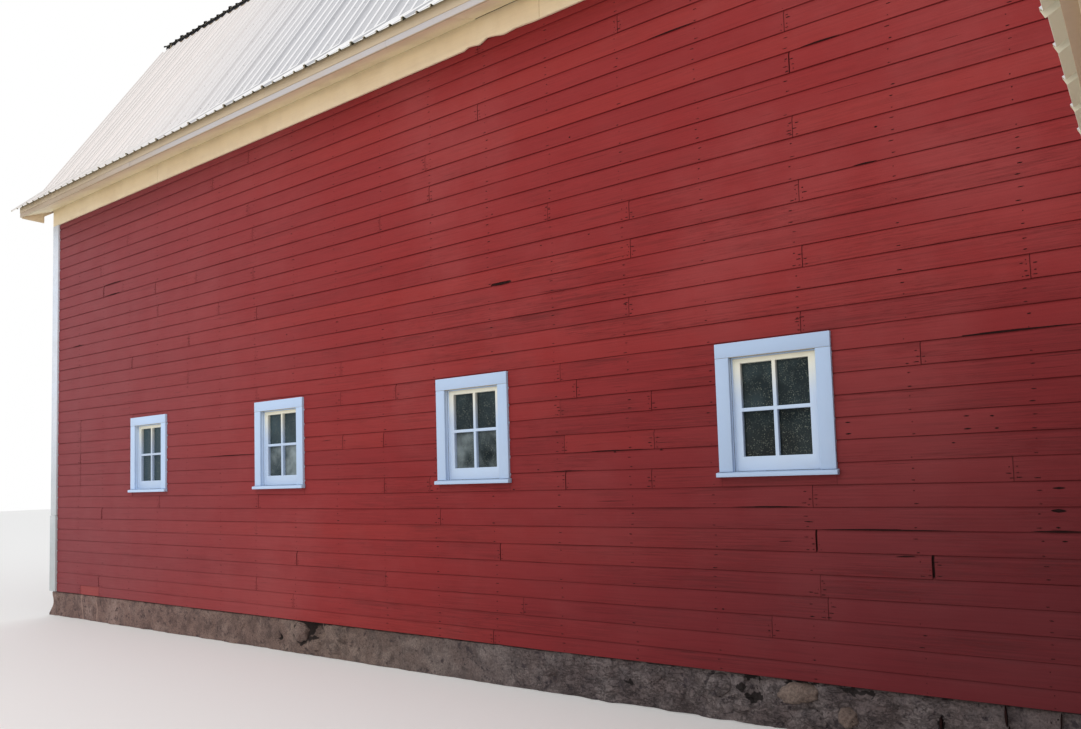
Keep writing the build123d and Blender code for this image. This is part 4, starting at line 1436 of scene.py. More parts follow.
dress(makeCorners(), cornerPaint, "white_trim", "corner_boards")
print("Barn: corner boards are up")


# Boards of the eaves, in lengths with butt joints

def prism(name, outline, start, end):
    # A shape drawn across (y, z), drawn out along X
    shape = addNew(name, bpy.ops.mesh.primitive_circle_add, vertices=len(outline), radius=1, fill_type="NGON")
    for vertex, (y, z) in zip(shape.data.vertices, outline):
        vertex.co = (start, y, z)
    openEdit(shape, "FACE")
    chooseAll()
    extrude((end - start, 0, 0))
    faceOut()
    return shape


def section(front, back, foot, head):
    return [(front, foot), (back, foot), (back, head), (front, head)]


def boardRun(name, outline, start, end, joints=(), bevel=0.002, slipBy=0.0):
    # Boards along X of one section, each set a hair in or out
    bounds = [start] + list(joints) + [end]
    halfGap = 0.001
    parts = []
    for number, (left, right) in enumerate(zip(bounds[:-1], bounds[1:])):
        slip = slipBy * (number % 2) + chance.uniform(0, 0.0008)
        moved = [(y + slip, z) for y, z in outline]
        parts.append(prism(name, moved, left + halfGap * (number > 0), right - halfGap * (right < end)))
    run = joinAll(name, parts)
    return soften(run, bevel) if bevel else run


def mirrorOver(piece, alsoX=False):
    # Doubles a piece to the back of the barn, and to its other end where asked
    useModifier(piece, "mirror", "MIRROR", use_axis=(alsoX, True, False), use_mirror_merge=False)
    return piece


eaves = {
    "fasciaOverhang": 0.382,
    "fasciaHeight": 0.153,
    "board": 0.020,
    "soffit": 0.015,
    "soffitLift": 0.010,
    "crownHeight": 0.079,
    "crownLean": 0.004,
    "rakeOverhang": 0.124,
    "rakeWidth": 0.185,
    "endBoardLevel": 0.287,
    "endBoardStep": 0.086,
    "endBoardDrop": 0.010,
    "tuck": 0.002,
    "rakeTuck": 0.003,
    "ribShadeIn": 0.045,
    "edgeRise": 0.026,
    "fasciaJoints": (-6.53, -2.48, 1.6, 5.5),
    "crownJoints": (-4.1, 0.4, 4.6),
    "friezeJoints": (-6.607, -1.188, 3.9, 6.4),
    "soffitJoints": (-1.82, 2.9, 6.2),
    "friezeChips": ((-1.964, -1.803, 0.016), (-1.79, -1.555, 0.030), (-1.52, -1.25, 0.010),
                    (-8.0, -7.86, 0.003)),
}
fasciaFront = frontFace - eaves["fasciaOverhang"]
fasciaBack = fasciaFront + eaves["board"]
fasciaFoot = flareHeight(fasciaFront) - eaves["fasciaHeight"] + cornerBoard["proud"]
crownFoot = flareHeight(fasciaFront) - eaves["crownHeight"]
soffitFoot = fasciaFoot + eaves["soffitLift"]
rakeOut = rightFace + eaves["rakeOverhang"]
rakeIn = rakeOut - eaves["board"]
trimFace = frontFace - cornerBoard["proud"]


def sagOf(x):
    # How much the sheets' lower edge rises above a straight eave
    joints = eaves["crownJoints"]
    rise = eaves["edgeRise"]
    return float(np.interp(x, (-rakeOut, joints[0], joints[-1], rakeOut), (0, rise, rise, 0)))


def raiseEave(piece, foot=-1.0):
    # Lifts what lies on the flare above the given level, most at its tip
    for vertex in piece.data.vertices:
        part = (kickPoint[0] - vertex.co.y) / (kickPoint[0] - eaveTip[0])
        if part > 0 and vertex.co.z > foot:
            vertex.co.z += sagOf(vertex.co.x) * part


# Ribbed roof sheets, hollow under their ribs. A rib has a width at its base, at its crest, and a height.
sheet = {
    "width": 0.6096,
    "gauge": 0.0015,
    "tall": (0.058, 0.024, 0.024),
    "low": (0.038, 0.017, 0.015),
    "ribs": 4,
    "rakeOverhang": 0.255,
    "lift": 0.003,
    "slip": 0.004,
    "ridgeHalf": 0.19,
    "ridgeLength": 3.05,
    "ridgeLap": 0.06,
    "screwIn": 0.07,
    "screwBeside": 0.045,
    "screwFoot": 0.0085,
    "screwHead": 0.006,
}
sheetsOut = rightFace + sheet["rakeOverhang"]


def chipFoot(piece, start, end, height, foot):
    # Raises part of a board's lower edge, with ragged ends
    third = (end - start) / 3
    for place in (start, start + third, end - third, end):
        cutLine(piece, (place, 0, 0), (1, 0, 0))
    openEdit(piece, "VERT")
    near = 0.002
    level = foot + 0.006
    choose(piece, "verts", lambda v: start + third - near < v.co.x < end - third + near and v.co.z < level)
    move((0, 0, height))
    choose(piece, "verts", lambda v: abs(v.co.x - end + third) < near and v.co.z < level + height)
    move((0, 0, -height * 0.4))
    closeEdit()


def makeFrieze():
    outline = section(trimFace, frontFace - 0.0008, sidingTop, plateLevel)
    out = rightFace + cornerBoard["proud"]
    run = boardRun("friezeBoards", outline, -out, out, eaves["friezeJoints"])
    for start, end, height in eaves["friezeChips"]:
        chipFoot(run, start, end, height, sidingTop)
    return mirrorOver(run)


def makeFascia():
    outline = section(fasciaFront, fasciaBack, fasciaFoot, crownFoot)
    joints = eaves["fasciaJoints"]
    return mirrorOver(boardRun("eaveFascias", outline, -rakeOut, rakeOut, joints, slipBy=0.0012))


def makeCrown():
    lean = fasciaFront - eaves["crownLean"]
    outline = [(fasciaFront - 0.003, crownFoot + 0.001), (fasciaBack, crownFoot + 0.001),
               (fasciaBack, flareHeight(fasciaBack) - 0.001), (lean, flareHeight(lean) - 0.003)]
    crown = boardRun("eaveCrowns", outline, -rakeOut, rakeOut, eaves["crownJoints"])
    raiseEave(crown, crownFoot + 0.02)
    return mirrorOver(crown)


def makeRibEndShade():
    # Dark plugs in the open ends of the sheets' ribs: painted shade in the hollow ribs
    out = fasciaFront - eaves["ribShadeIn"]
    plug = addBlock("ribShadePlug", (-0.5, -0.002, -0.15), (0.5, 0.002, 1.0))
    places = []
    number = math.ceil((-rakeOut - firstRib) / ribSpacing)
    while firstRib + number * ribSpacing < rakeOut:
        base, crest, height = sheet["tall"] if number % sheet["ribs"] == 0 else sheet["low"]
        middle = (firstRib + number * ribSpacing, out, flareHeight(out) + sheet["lift"])
        size = (base * 0.25 + crest * 0.75, 1, height, 1)
        places.append(Matrix.Translation(middle) @ Matrix.Diagonal(size))
        number += 1
    plugs = scatter("ribEndShades", plug, places)
    discard(plug)
    raiseEave(plugs)
    return mirrorOver(plugs)


def makeSoffit():
    thick = eaves["soffit"]
    inner = trimFace + 0.004
    outline = [(inner, plateLevel), (fasciaBack, soffitFoot), (fasciaBack, soffitFoot + thick),
               (inner, plateLevel + thick)]
    parts = []
    bounds = [-rakeIn] + list(eaves["soffitJoints"]) + [rakeIn]
    for number, (left, right) in enumerate(zip(bounds[:-1], bounds[1:])):
        away = 0.010 * (number == 1)
        moved = [(y - away * (y > fasciaBack + 0.1), z) for y, z in outline]
        parts.append(prism("soffit", moved, left + 0.001, right - 0.001))
    return mirrorOver(soften(joinAll("eaveSoffits", parts), 0.002))


def makeEndBoard():
    foot = fasciaFoot - eaves["endBoardDrop"]
    level = eaves["endBoardLevel"] - eaves["fasciaOverhang"] + frontFace
    back = frontFace + sidingThick
    tuck = eaves["tuck"]
    outline = [(fasciaBack, foot), (level, foot), (level, foot + eaves["endBoardStep"]), (back, plateLevel),
               (back, lowerHeight(back) - tuck), (kickPoint[0], kickPoint[1] - tuck),
               (fasciaBack, flareHeight(fasciaBack) - tuck)]
    return mirrorOver(soften(prism("eaveEndBoards", outline, rakeIn, rakeOut), 0.002), True)


def crossing(point, pitch, other, otherPitch):
    slope, otherSlope = math.tan(pitch), math.tan(otherPitch)
    across = (other[1] - point[1] + slope * point[0] - otherSlope * other[0]) / (slope - otherSlope)
    return (across, point[1] + slope * (across - point[0]))


def under(point, distance, pitch):
    return (point[0], point[1] - distance / math.cos(pitch))


def makeRakes():
    lowerPitch, upperPitch = roofShape["lowerPitch"], roofShape["upperPitch"]
    width = eaves["rakeWidth"]
    start = frontFace + 0.021
    tuck = eaves["rakeTuck"]
    first = (start, lowerHeight(start) - tuck)
    last = (upperStart, lowerHeight(upperStart) - tuck)
    upperFirst = (upperStart, upperHeight(upperStart) - tuck)
    ridge = (-0.001, ridgePoint[1] - tuck)
    foot, head = under(first, width, lowerPitch), under(ridge, width, upperPitch)
    knee = crossing(foot, lowerPitch, head, upperPitch)
    lower = prism("rakeBoards", [foot, knee, last, first], rakeIn, rakeOut)
    upper = prism("rakeBoards", [knee, head, ridge, upperFirst, last], rakeIn, rakeOut - 0.001)
    return mirrorOver(soften(joinAll("rakeBoards", [lower, upper]), 0.002), True)


def alongWing(piece, right=False):
    # Places what was drawn along X from the barn's wall, or from the wing's front, on the wing's side
    corner, turn = ((wingRight, wingFront, 0), 90) if right else ((wingLeft, frontFace, 0), -90)
    piece.data.transform(wallMatrix(corner, turn))
    return piece


def makeWingTrim():
    # The wing's fascias, soffits and rake boards
    outer = -wing["fasciaOverhang"]
    inner = outer + eaves["board"]
    high, low = wingHeight(inner), wingHeight(outer)
    foot = low - wing["fasciaHeight"]
    tuck = eaves["tuck"]
    fascia = [(outer, foot), (inner, foot), (inner, high - tuck), (outer, low - tuck)]
    top = wing["deck"] / math.cos(wing["pitch"])
    wall = wingHeight(0)
    soffit = [(inner, high - soffitDrop), (0.0, wall - soffitDrop), (0.0, wall - top), (inner, high - top)]
    reachOut = wingDepth + wing["rakeOverhang"]
    inset = eaves["board"]
    fascias = []
    soffits = []
    for right in (False, True):
        start, end = (-wing["rakeOverhang"], wingDepth) if right else (0.0, reachOut)
        fascias.append(alongWing(boardRun("wingFascia", fascia, start, end), right))
        run = boardRun("wingSoffit", soffit, start + inset * right, end - inset * (not right))
        soffits.append(alongWing(run, right))
    lip = low - 0.003
    strip = [(outer - 0.007, lip - 0.012), (outer, lip - 0.012), (outer, lip), (outer - 0.007, lip - 0.004)]
    soffits.append(alongWing(boardRun("wingStrip", strip, 0.0, reachOut, bevel=0)))
    half = wingWidth / 2 - 0.001
    left = [(inner, high - soffitDrop), (half, wingRidge - soffitDrop), (half, wingRidge - tuck),
            (inner, high - tuck)]
    rakes = []
    for outline in (left, [(wingWidth - y, z) for y, z in left]):
        rakes.append(alongWing(boardRun("wingRake", outline, reachOut - inset, reachOut)))
    return fascias, soffits, rakes


wingFascias, wingSoffits, wingRakes = makeWingTrim()
friezes = makeFrieze()
crowns = makeCrown()
fascias = joinAll("eaveFascias", [makeFascia()] + wingFascias)
soffits = joinAll("eaveSoffits", [makeSoffit()] + wingSoffits)
endBoards = makeEndBoard()
rakes = joinAll("rakeBoards", [makeRakes()] + wingRakes)
dress(friezes, creamPaint, "cream_trim", "frieze_boards")
dress(fascias, fasciaPaint, "cream_trim", "eave_fascias")
dress(crowns, crownPaintAndShade, "cream_trim")
dress(makeRibEndShade(), ribEndShade, "cream_trim")
dress(soffits, soffitPaint, "cream_trim", "eave_soffits")
dress(endBoards, creamPaint, "cream_trim", "eave_end_boards")
dress(rakes, creamPaint, "cream_trim", "rake_boards")
print("Barn: trim boards are in place")


# One window: casing boards, jamb lining, sill and a sash of four panes

def modelCasing():
    w = windowSize
    half = w["width"] / 2
    inner = half - w["sideCasing"]
    headFoot = w["height"] - w["headCasing"]
    sideHead = headFoot - w["casingGap"]
    front, foot, back, jamb = -w["casingProud"], w["sillHead"], w["wallDepth"], w["jamb"]
    casingBack, behind = w["casingBack"], w["liningFront"]
    parts = []
    for name, low, high in (
        ("casingSide", (-half, front, foot), (-inner, casingBack, sideHead)),
        ("casingSide", (inner, front, foot), (half, casingBack, sideHead)),
        ("casingHead", (-half, front - w["headProud"], headFoot), (half, casingBack, w["height"])),
        ("jamb", (-inner, behind, foot), (-inner + jamb, back, headFoot)),
        ("jamb", (inner - jamb, behind, foot), (inner, back, headFoot)),
        ("jambHead", (-inner + jamb, behind, headFoot - jamb), (inner - jamb, back, headFoot)),
    ):
        parts.append(addBlock(name, low, high))
    return soften(joinAll("casingPattern", parts), 0.0018)


def modelSill():
    w = windowSize
    inner = w["width"] / 2 - w["sideCasing"]
    foot, head = w["sillFoot"], w["sillHead"]
    sill = addBlock("sillPattern", (-inner, -w["sillProud"], foot), (inner, w["wallDepth"], head))
    openEdit(sill, "VERT")
    cutAt((0, -0.001, 0), (0, 1, 0))
    bpy.ops.mesh.select_mode(type="FACE")
    for side in (-1, 1):
        choose(sill, "faces", lambda f: f.normal.x * side > 0.9 and f.calc_center_median().y < 0)
        extrude((side * (w["sideCasing"] + w["sillHorn"]), 0, 0))
    bpy.ops.mesh.select_mode(type="VERT")
    choose(sill, "verts", lambda v: v.co.y < -w["sillProud"] + 0.001 and v.co.z > (foot + head) / 2)
    move((0, 0, -w["sillSlope"]))
    closeEdit()
    return soften(sill, 0.002)


def modelSash():
    # A plane is inset for the stiles and rails, cut in four, and each pane inset for the bars
    w = windowSize
    half = w["width"] / 2 - w["sideCasing"] - w["jamb"] - 0.0004
    foot = w["sillHead"] + 0.002
    head = w["height"] - w["headCasing"] - w["jamb"] - 0.0004
    middle = (foot + head) / 2
    centre = (0, w["sashFace"], middle)
    sash = addNew("sashPattern", bpy.ops.mesh.primitive_plane_add, size=1, location=centre,
                  rotation=(math.radians(90), 0, 0))
    applyPlace(sash)
    openEdit(sash, "FACE")
    chooseAll()
    bpy.ops.transform.resize(value=(2 * half, 1, head - foot), center_override=centre)
    bpy.ops.mesh.inset(thickness=0.05, depth=0)
    closeEdit()
    bar = w["muntin"] / 2
    paneHalf = w["glassHalf"] + bar
    paneLow, paneHigh = w["glassFoot"] - bar, w["glassHead"] + bar
    for vertex in sash.data.vertices:
        if abs(vertex.co.x) < half - 0.01:
            vertex.co.x = math.copysign(paneHalf, vertex.co.x)
            vertex.co.z = paneHigh if vertex.co.z > middle else paneLow
    openEdit(sash, "FACE")
    choose(sash, "faces", lambda f: (f.calc_center_median() - Vector(centre)).length < 0.05)
    bpy.ops.mesh.subdivide(number_cuts=1)
    bpy.ops.mesh.inset(thickness=bar, depth=0, use_individual=True)
    bpy.ops.mesh.delete(type="FACE")
    closeEdit()
    useModifier(sash, "depth", "SOLIDIFY", thickness=w["sashDepth"], offset=-1)
    return soften(sash, 0.0025)


for name, pattern, nodeName, finish in (
    ("windowCasings", modelCasing(), "window_casings", whitePaint),
    ("windowSills", modelSill(), "window_sills", whitePaint),
    ("windowSashes", modelSash(), "window_sashes", sashPaint),
):
    whole = joinAll(name, [copyTo(pattern, spot) for spot in windowSpots])
    discard(pattern)
    dress(whole, finish, "white_trim", nodeName)
paintNode("window_glass", oldGlass)
print("Barn: windows are in place")


# Roof sheets, screws and ridge caps

def modelSheet(name, path, rise, size=1.0):
    # One sheet, extruded rib by rib across the slope from a line up the slope
    piece = addNew(name, bpy.ops.mesh.primitive_plane_add, size=1)
    openEdit(piece, "VERT")
    choose(piece, "verts", lambda v: v.co.x > 0)
    bpy.ops.mesh.delete(type="VERT")
    closeEdit()
    ends = sorted(piece.data.vertices, key=lambda v: v.co.y)
    for end, point in zip(ends, path):
        end.co = (0, *point)
    openEdit(piece, "VERT")
    for before, after in zip(path[1:-1], path[2:]):
        choose(piece, "verts", lambda v: (v.co - Vector((0, *before))).length < 0.001)
        extrude((0, after[0] - before[0], after[1] - before[1]))
    bpy.ops.mesh.select_mode(type="EDGE")
    chooseAll()
    pitch = sheet["width"] / sheet["ribs"]
    for number in range(sheet["ribs"]):
        tall = sheet["tall"] if size == 1 else sheet["low"]
        base, top, height = [part * size for part in (tall if number == 0 else sheet["low"])]
        nextBase = size * (sheet["low"][0] if number + 1 < sheet["ribs"] else tall[0])
        flank = Vector(((base - top) / 2, 0, 0))
        up = Vector(rise) * height
        flat = pitch - base / 2 - nextBase / 2
        for step in (flank + up, Vector((top, 0, 0)), flank - up, Vector((flat, 0, 0))):
            extrude(step)
    faceOut()
    if sum(face.normal.dot(Vector(rise)) for face in piece.data.polygons) < 0:
        turnOver(piece)
    return piece


def roofSheets(name, path, ribPlace, start, end, rise, size=1.0):
    # Lays sheets along X, and cuts the first and the last one to length
    pattern = modelSheet(name + "Pattern", path, rise, size)
    step = Vector((path[-1][0] - path[-2][0], path[-1][1] - path[-2][1])).normalized()
    parts = []
    place = ribPlace - sheet["tall"][0] * size / 2
    while place > start:
        place -= sheet["width"]
    while place < end:
        slip = chance.uniform(-1, 1) * sheet["slip"]
        lift = sheet["lift"] + chance.uniform(0, 0.0012)
        spot = Vector((place, step.x * slip + rise[1] * lift, step.y * slip + rise[2] * lift))
        parts.append(copyTo(pattern, Matrix.Translation(spot)))
        place += sheet["width"]
    discard(pattern)
    roof = joinAll(name, parts)
    openEdit(roof, "VERT")
    for place, side in ((end, 1), (start, -1)):
        cutAt((place, 0, 0), (side, 0, 0), clear_outer=True)
    closeEdit()
    useModifier(roof, "gauge", "SOLIDIFY", thickness=sheet["gauge"], offset=1)
    return roof


def screwPlaces(ribPlace, start, end, rows, pitch):
    # Screws on the flats beside the ribs, in rows up the slope
    places = []
    step = sheet["width"] / sheet["ribs"]
    number = math.ceil((start - ribPlace) / step)
    tilt = Matrix.Rotation(pitch, 4, "X")
    while ribPlace + number * step + 0.05 < end:
        for y, z in rows:
            x = ribPlace + number * step + sheet["screwBeside"] + chance.uniform(-0.004, 0.004)
            places.append(Matrix.Translation((x, y, z + 0.005)) @ tilt)
        number += 1
    return places


def rowsUp(low, high, pitch, heightAt):
    # Heights of the screw rows between two distances, two feet apart up the slope
    rows = []
    y = low
    while y < high:
        rows.append((y, heightAt(y)))
        y += sheet["width"] * math.cos(pitch)
    return rows


def riseOf(pitch):
    return (0, -math.sin(pitch), math.cos(pitch))


def makeRoof():
    end = upperStart - roofShape["sheetTuck"]
    top = (end, lowerHeight(end))
    lower = roofSheets("lowerFrontSheets", (eaveTip, kickPoint, top), firstRib, -sheetsOut, sheetsOut,
                       riseOf(roofShape["ribTurn"]))
    raiseEave(lower)
    upper = roofSheets("upperFrontSheets", (upperTip, ridgePoint), firstRib, -sheetsOut, sheetsOut,
                       riseOf(roofShape["upperPitch"]))
    for piece, level, finish in ((lower, "lower", roofSteel), (upper, "upper", upperSteel)):
        twin = copyTo(piece, Matrix.Scale(-1, 4, (0, 1, 0)))
        turnOver(twin)
        twin.name = level + "BackSheets"
        dress(piece, finish, "roof_steel", level + "_front_sheets")
        dress(twin, finish, "roof_steel", level + "_back_sheets")
    wingPath = ((-wing["eaveOverhang"], wing["eaveHeight"]), (wingWidth / 2 - 0.002, wingRidge - 0.001))
    over = wing["sheetOverhang"]
    for side, start, end in (("Left", 0.003, wingDepth + over), ("Right", -over, wingDepth - 0.003)):
        half = roofSheets("wing" + side + "Sheets", wingPath, wing["firstRib"], start, end,
                          riseOf(wing["pitch"]), wing["ribSize"])
        dress(alongWing(half, side == "Right"), roofSteel, "roof_steel", "wing_" + side.lower() + "_sheets")


def makeScrews():
    screw = addNew("screwPattern", bpy.ops.mesh.primitive_cone_add, vertices=6, radius1=sheet["screwFoot"],
                   radius2=sheet["screwHead"], depth=0.006)
    flare = math.atan2(roofShape["kickRise"], roofShape["kickRun"])
    foot = eaveTip[0] + sheet["screwIn"]
    places = screwPlaces(firstRib, -sheetsOut, sheetsOut, [(foot, flareHeight(foot))], flare)
    for place in places:
        place.translation.z += sagOf(place.translation.x) * (1 - sheet["screwIn"] / roofShape["kickRun"])
    lowerPitch, upperPitch = roofShape["lowerPitch"], roofShape["upperPitch"]
    for rows, pitch in (
        (rowsUp(kickPoint[0] + 0.09, upperTip[0] - 0.1, lowerPitch, lowerHeight), lowerPitch),
        (rowsUp(upperTip[0] + 0.08, -0.2, upperPitch, upperHeight), upperPitch),
    ):
        places += screwPlaces(firstRib, -sheetsOut, sheetsOut, rows, pitch)
    screws = [mirrorOver(scatter("roofScrews", screw, places))]
    wingRows = rowsUp(sheet["screwIn"] - wing["eaveOverhang"], wingWidth / 2 - 0.2, wing["pitch"], wingHeight)
    for right in (False, True):
        spots = screwPlaces(wing["firstRib"], 0.0, wingDepth, wingRows, wing["pitch"])
        screws.append(alongWing(scatter("wingScrews", screw, spots), right))
    discard(screw)
    return joinAll("roofScrews", screws)


def ridgeCap(name, middle, top, pitch, start, end):
    # A bent strip over the ribs of both slopes, in lengths that lap
    half = sheet["ridgeHalf"]
    drop = half * math.tan(pitch)
    thin = 0.0025
    outline = [(middle - half, top - drop), (middle, top), (middle + half, top - drop),
               (middle + half, top - drop - thin), (middle, top - thin), (middle - half, top - drop - thin)]
    parts = []
    place = start
    while place < end - 0.05:
        lift = 0.0028 * (len(parts) % 2)
        moved = [(y, z + lift) for y, z in outline]
        parts.append(prism(name, moved, place, min(place + sheet["ridgeLength"] + sheet["ridgeLap"], end)))
        place += sheet["ridgeLength"]
    return joinAll(name, parts)


def makeRidges():
    rib = sheet["tall"][2] + 0.006
    pitch, wingPitch = roofShape["upperPitch"], wing["pitch"]
    main = ridgeCap("ridgeCaps", 0.0, ridgePoint[1] + rib / math.cos(pitch), pitch, -sheetsOut, sheetsOut)
    side = ridgeCap("wingRidge", wingWidth / 2, wingRidge + rib / math.cos(wingPitch), wingPitch, 0.002,
                    wingDepth + wing["sheetOverhang"])
    return joinAll("ridgeCaps", [main, alongWing(side)])


def makeUpperDeck():
    # Roof boards of both upper slopes, whose edge at the break of the roof is near black, painted shade
    drop = roofShape["upperDeck"] / math.cos(roofShape["upperPitch"])
    head = upperHeight(upperStart) - eaves["tuck"]
    foot = upperHeight(upperStart) - drop
    ridge = ridgePoint[1]
    outline = [(upperStart, head), (upperStart, foot), (0, ridge - drop), (-upperStart, foot),
               (-upperStart, head), (0, ridge - eaves["tuck"])]
    out = sheetsOut - 0.012
    return boardRun("upperRoofBoards", outline, -out, out, bevel=0)


makeRoof()
dress(makeScrews(), screwSteel, "roof_steel")
dress(makeRidges(), roofSteel, "roof_steel", "ridge_caps")
dress(makeUpperDeck(), edgeShadeTimber, "roof_timber", "upper_front_roof", "upper_back_roof")
print("Barn: roof sheets are laid")

# Foundation of concrete with stones in it. Distances run along the front from the siding's left end.
footing = {
    "cell": 0.030,
    "swell": 0.040,
    "swellSize": 0.34,
    "rough": 0.020,
    "roughSize": 0.075,
    "rimDrop": 0.014,
    "rimSize": 0.13,
    "rubble": 0.075,
    "rubbleSize": 0.17,
    "endOut": 0.028,
    "footOut": 0.09,
    "footHigh": 0.14,
}
# Each with its distance, height, depth and radius
hollows = [
    (5.07, -0.075, 0.085, 0.16), (5.13, -0.14, 0.07, 0.12), (4.548, -0.191, 0.045, 0.05),
    (9.28, -0.03, 0.05, 0.08), (9.30, -0.13, 0.05, 0.10), (9.62, -0.05, 0.05, 0.09),
    (10.35, -0.13, 0.035, 0.07),
]


def displace(piece, name, size, strength, kind="CLOUDS", level=0.5, **settings):
    # Pushes a surface in and out by a pattern that is fixed to the piece
    pattern = bpy.data.textures.new(name, kind)
    pattern.noise_scale = size
    useModifier(piece, name, "DISPLACE", texture=pattern, strength=strength, mid_level=level,
                texture_coords="LOCAL", **settings)


def gridBlock(name, low, high, cell):
    # A block whose faces are cut into small cells
    block = addBlock(name, low, high)
    for axis in range(3):
        openEdit(block, "EDGE")
        pieces = max(1, round((high[axis] - low[axis]) / cell))
        while pieces > 1:
            cuts = min(pieces, 60)
            choose(block, "edges", lambda e: abs((e.verts[1].co - e.verts[0].co).normalized()[axis]) > 0.9)
            bpy.ops.mesh.subdivide(number_cuts=cuts - 1)
            pieces = round(pieces / cuts)
        closeEdit()
    return block


def roughen(block, low, high, face):
    # Swells and pits the outer side of a footing, and lets its upper rim crumble
    axis = "Y" if face in ("front", "back") else "X"
    number = 1 if axis == "Y" else 0
    edge = {"front": low[1], "back": high[1], "left": low[0], "right": high[0]}[face]
    rim = block.vertex_groups.new(name="rim")
    rubble = block.vertex_groups.new(name="rubble")
    for vertex in block.data.vertices:
        if abs(vertex.co[number] - edge) < 0.02:
            fromLeft = min(max((vertex.co.x + 1.6) / 1.2, 0.12), 1.0)
            fromRight = min(max((2.2 - vertex.co.x) / 0.8, 0.2), 1.0)
            rubble.add([vertex.index], fromLeft * fromRight, "REPLACE")
            if vertex.co.z > high[2] - 0.02:
                rim.add([vertex.index], 1.0, "REPLACE")
    displace(block, "swell", footing["swellSize"], footing["swell"], direction=axis)
    displace(block, "rubble", footing["rubbleSize"], footing["rubble"], "VORONOI", 0.35, direction=axis,
             vertex_group="rubble")
    displace(block, "rough", footing["roughSize"], footing["rough"], direction=axis)
    displace(block, "rim", footing["rimSize"], footing["rimDrop"] * 2, level=0.98, direction="Z",
             vertex_group="rim")


def pressIn(block, x, z, depth, radius):
    # Presses a hollow into the front of the foundation
    openEdit(block, "VERT")
    front = [v for v in block.data.vertices if abs(v.co.x - x) < 0.3 and v.co.y < frontFace + 0.12]
    nearest = min(front, key=lambda v: (v.co.x - x) ** 2 + (v.co.z - z) ** 2).index
    choose(block, "verts", lambda v: v.index == nearest)
    bpy.ops.transform.translate(value=(0, depth, 0), use_proportional_edit=True,
                                use_proportional_connected=True, proportional_edit_falloff="SMOOTH",
                                proportional_size=radius)
    closeEdit()


def flareEnd(block, end):
    # Moves the left end of the front foundation out, most at its foot
    high = footing["footHigh"]
    for vertex in block.data.vertices:
        if vertex.co.x < end + 0.05:
            vertex.co.x -= footing["endOut"] + footing["footOut"] * max(0.0, high - vertex.co.z) / high


def modelStone(front, x, z, width, height, proud):
    # A rounded field stone bedded in the front of the foundation
    stone = addNew("stone", bpy.ops.mesh.primitive_ico_sphere_add, subdivisions=4, radius=0.5)
    displace(stone, "lump", 0.35, 0.28)
    displace(stone, "skin", 0.08, 0.05)
    turn = Matrix.Rotation(chance.uniform(-0.5, 0.5), 4, "Y")
    place = Matrix.Translation((x, front + 0.08 - proud, z))
    stone.data.transform(place @ turn @ Matrix.Diagonal((width, 0.16, height, 1)))
    activate(stone)
    bpy.ops.object.shade_smooth()
    return stone


def makeFootings():
    for side in ("front", "back", "left", "right", "wing"):
        low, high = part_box(side + "_foundation")
        cell = footing["cell"] * (1 if side == "front" else 2.2)
        block = gridBlock(side.title() + "Foundation", low, high, cell)
        roughen(block, low, high, "front" if side == "wing" else side)
        if side == "front":
            for s, h, depth, radius in hollows:
                pressIn(block, sidingLow.x + s, floorLevel + h, depth, radius)
            flareEnd(block, low.x)
        shadeByAngle(block, 45)
        dress(block, stoneConcrete, "foundation_stone", side + "_foundation")
    bedded = [modelStone(frontFooting.y, sidingLow.x + s, floorLevel + h, width, height, proud)
              for s, h, width, height, proud in stones]
    dress(joinAll("fieldStones", bedded[:3]), fieldStone, "foundation_stone")
    dress(joinAll("rubbleStones", bedded[3:]), stoneConcrete, "foundation_stone")


# Dark upright cracks in the concrete: distance, height, width and length of each
footingCracks = [(10.689, -0.06, 0.012, 0.11), (10.70, -0.16, 0.010, 0.10), (10.938, -0.05, 0.006, 0.08),
                 (10.37, -0.14, 0.014, 0.07)]


def makeCracks():
    cracks = []
    for s, h, width, height in footingCracks:
        point = (sidingLow.x + s, frontFooting.y - 0.016, floorLevel + h)
        cracks.append(placeMark(point, width, height, 0.03, chance.uniform(-0.1, 0.1)))
    return scatter("concreteCracks", splitPattern, cracks)


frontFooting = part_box("front_foundation")[0]
makeFootings()
dress(makeCracks(), gapShade, "foundation_stone")
discard(splitPattern)
print("Barn: foundation is cast")


# Doors, drawn in their walls' own distances

def plankLeaf(low, high):
    # Upright planks side by side, with level boards across their face
    d = barnDoor
    width = (high - low) / d["planks"]
    face = -d["out"] + d["planksFace"]
    parts = []
    for number in range(d["planks"]):
        a = low + number * width + d["plankGap"] / 2
        b = a + width - d["plankGap"]
        front = face + chance.uniform(0, 0.0015)
        parts.append(addBlock("plank", (a, front, 0.0), (b, d["leafBack"], d["leafHeight"])))
    for height in d["battenHeights"]:
        parts.append(addBlock("batten", (low + 0.002, -d["out"], height),
                              (high - 0.002, face - 0.0005, height + d["battenWidth"])))
    return parts


def makeBarnDoors():
    gap = barnDoor["gap"]
    leaves = plankLeaf(gableHalf - leafEnd, gableHalf - gap)
    leaves += plankLeaf(gableHalf + gap, gableHalf + leafEnd)
    doors = soften(joinAll("barnDoors", leaves), 0.002)
    doors.data.transform(rightPlace)
    return doors


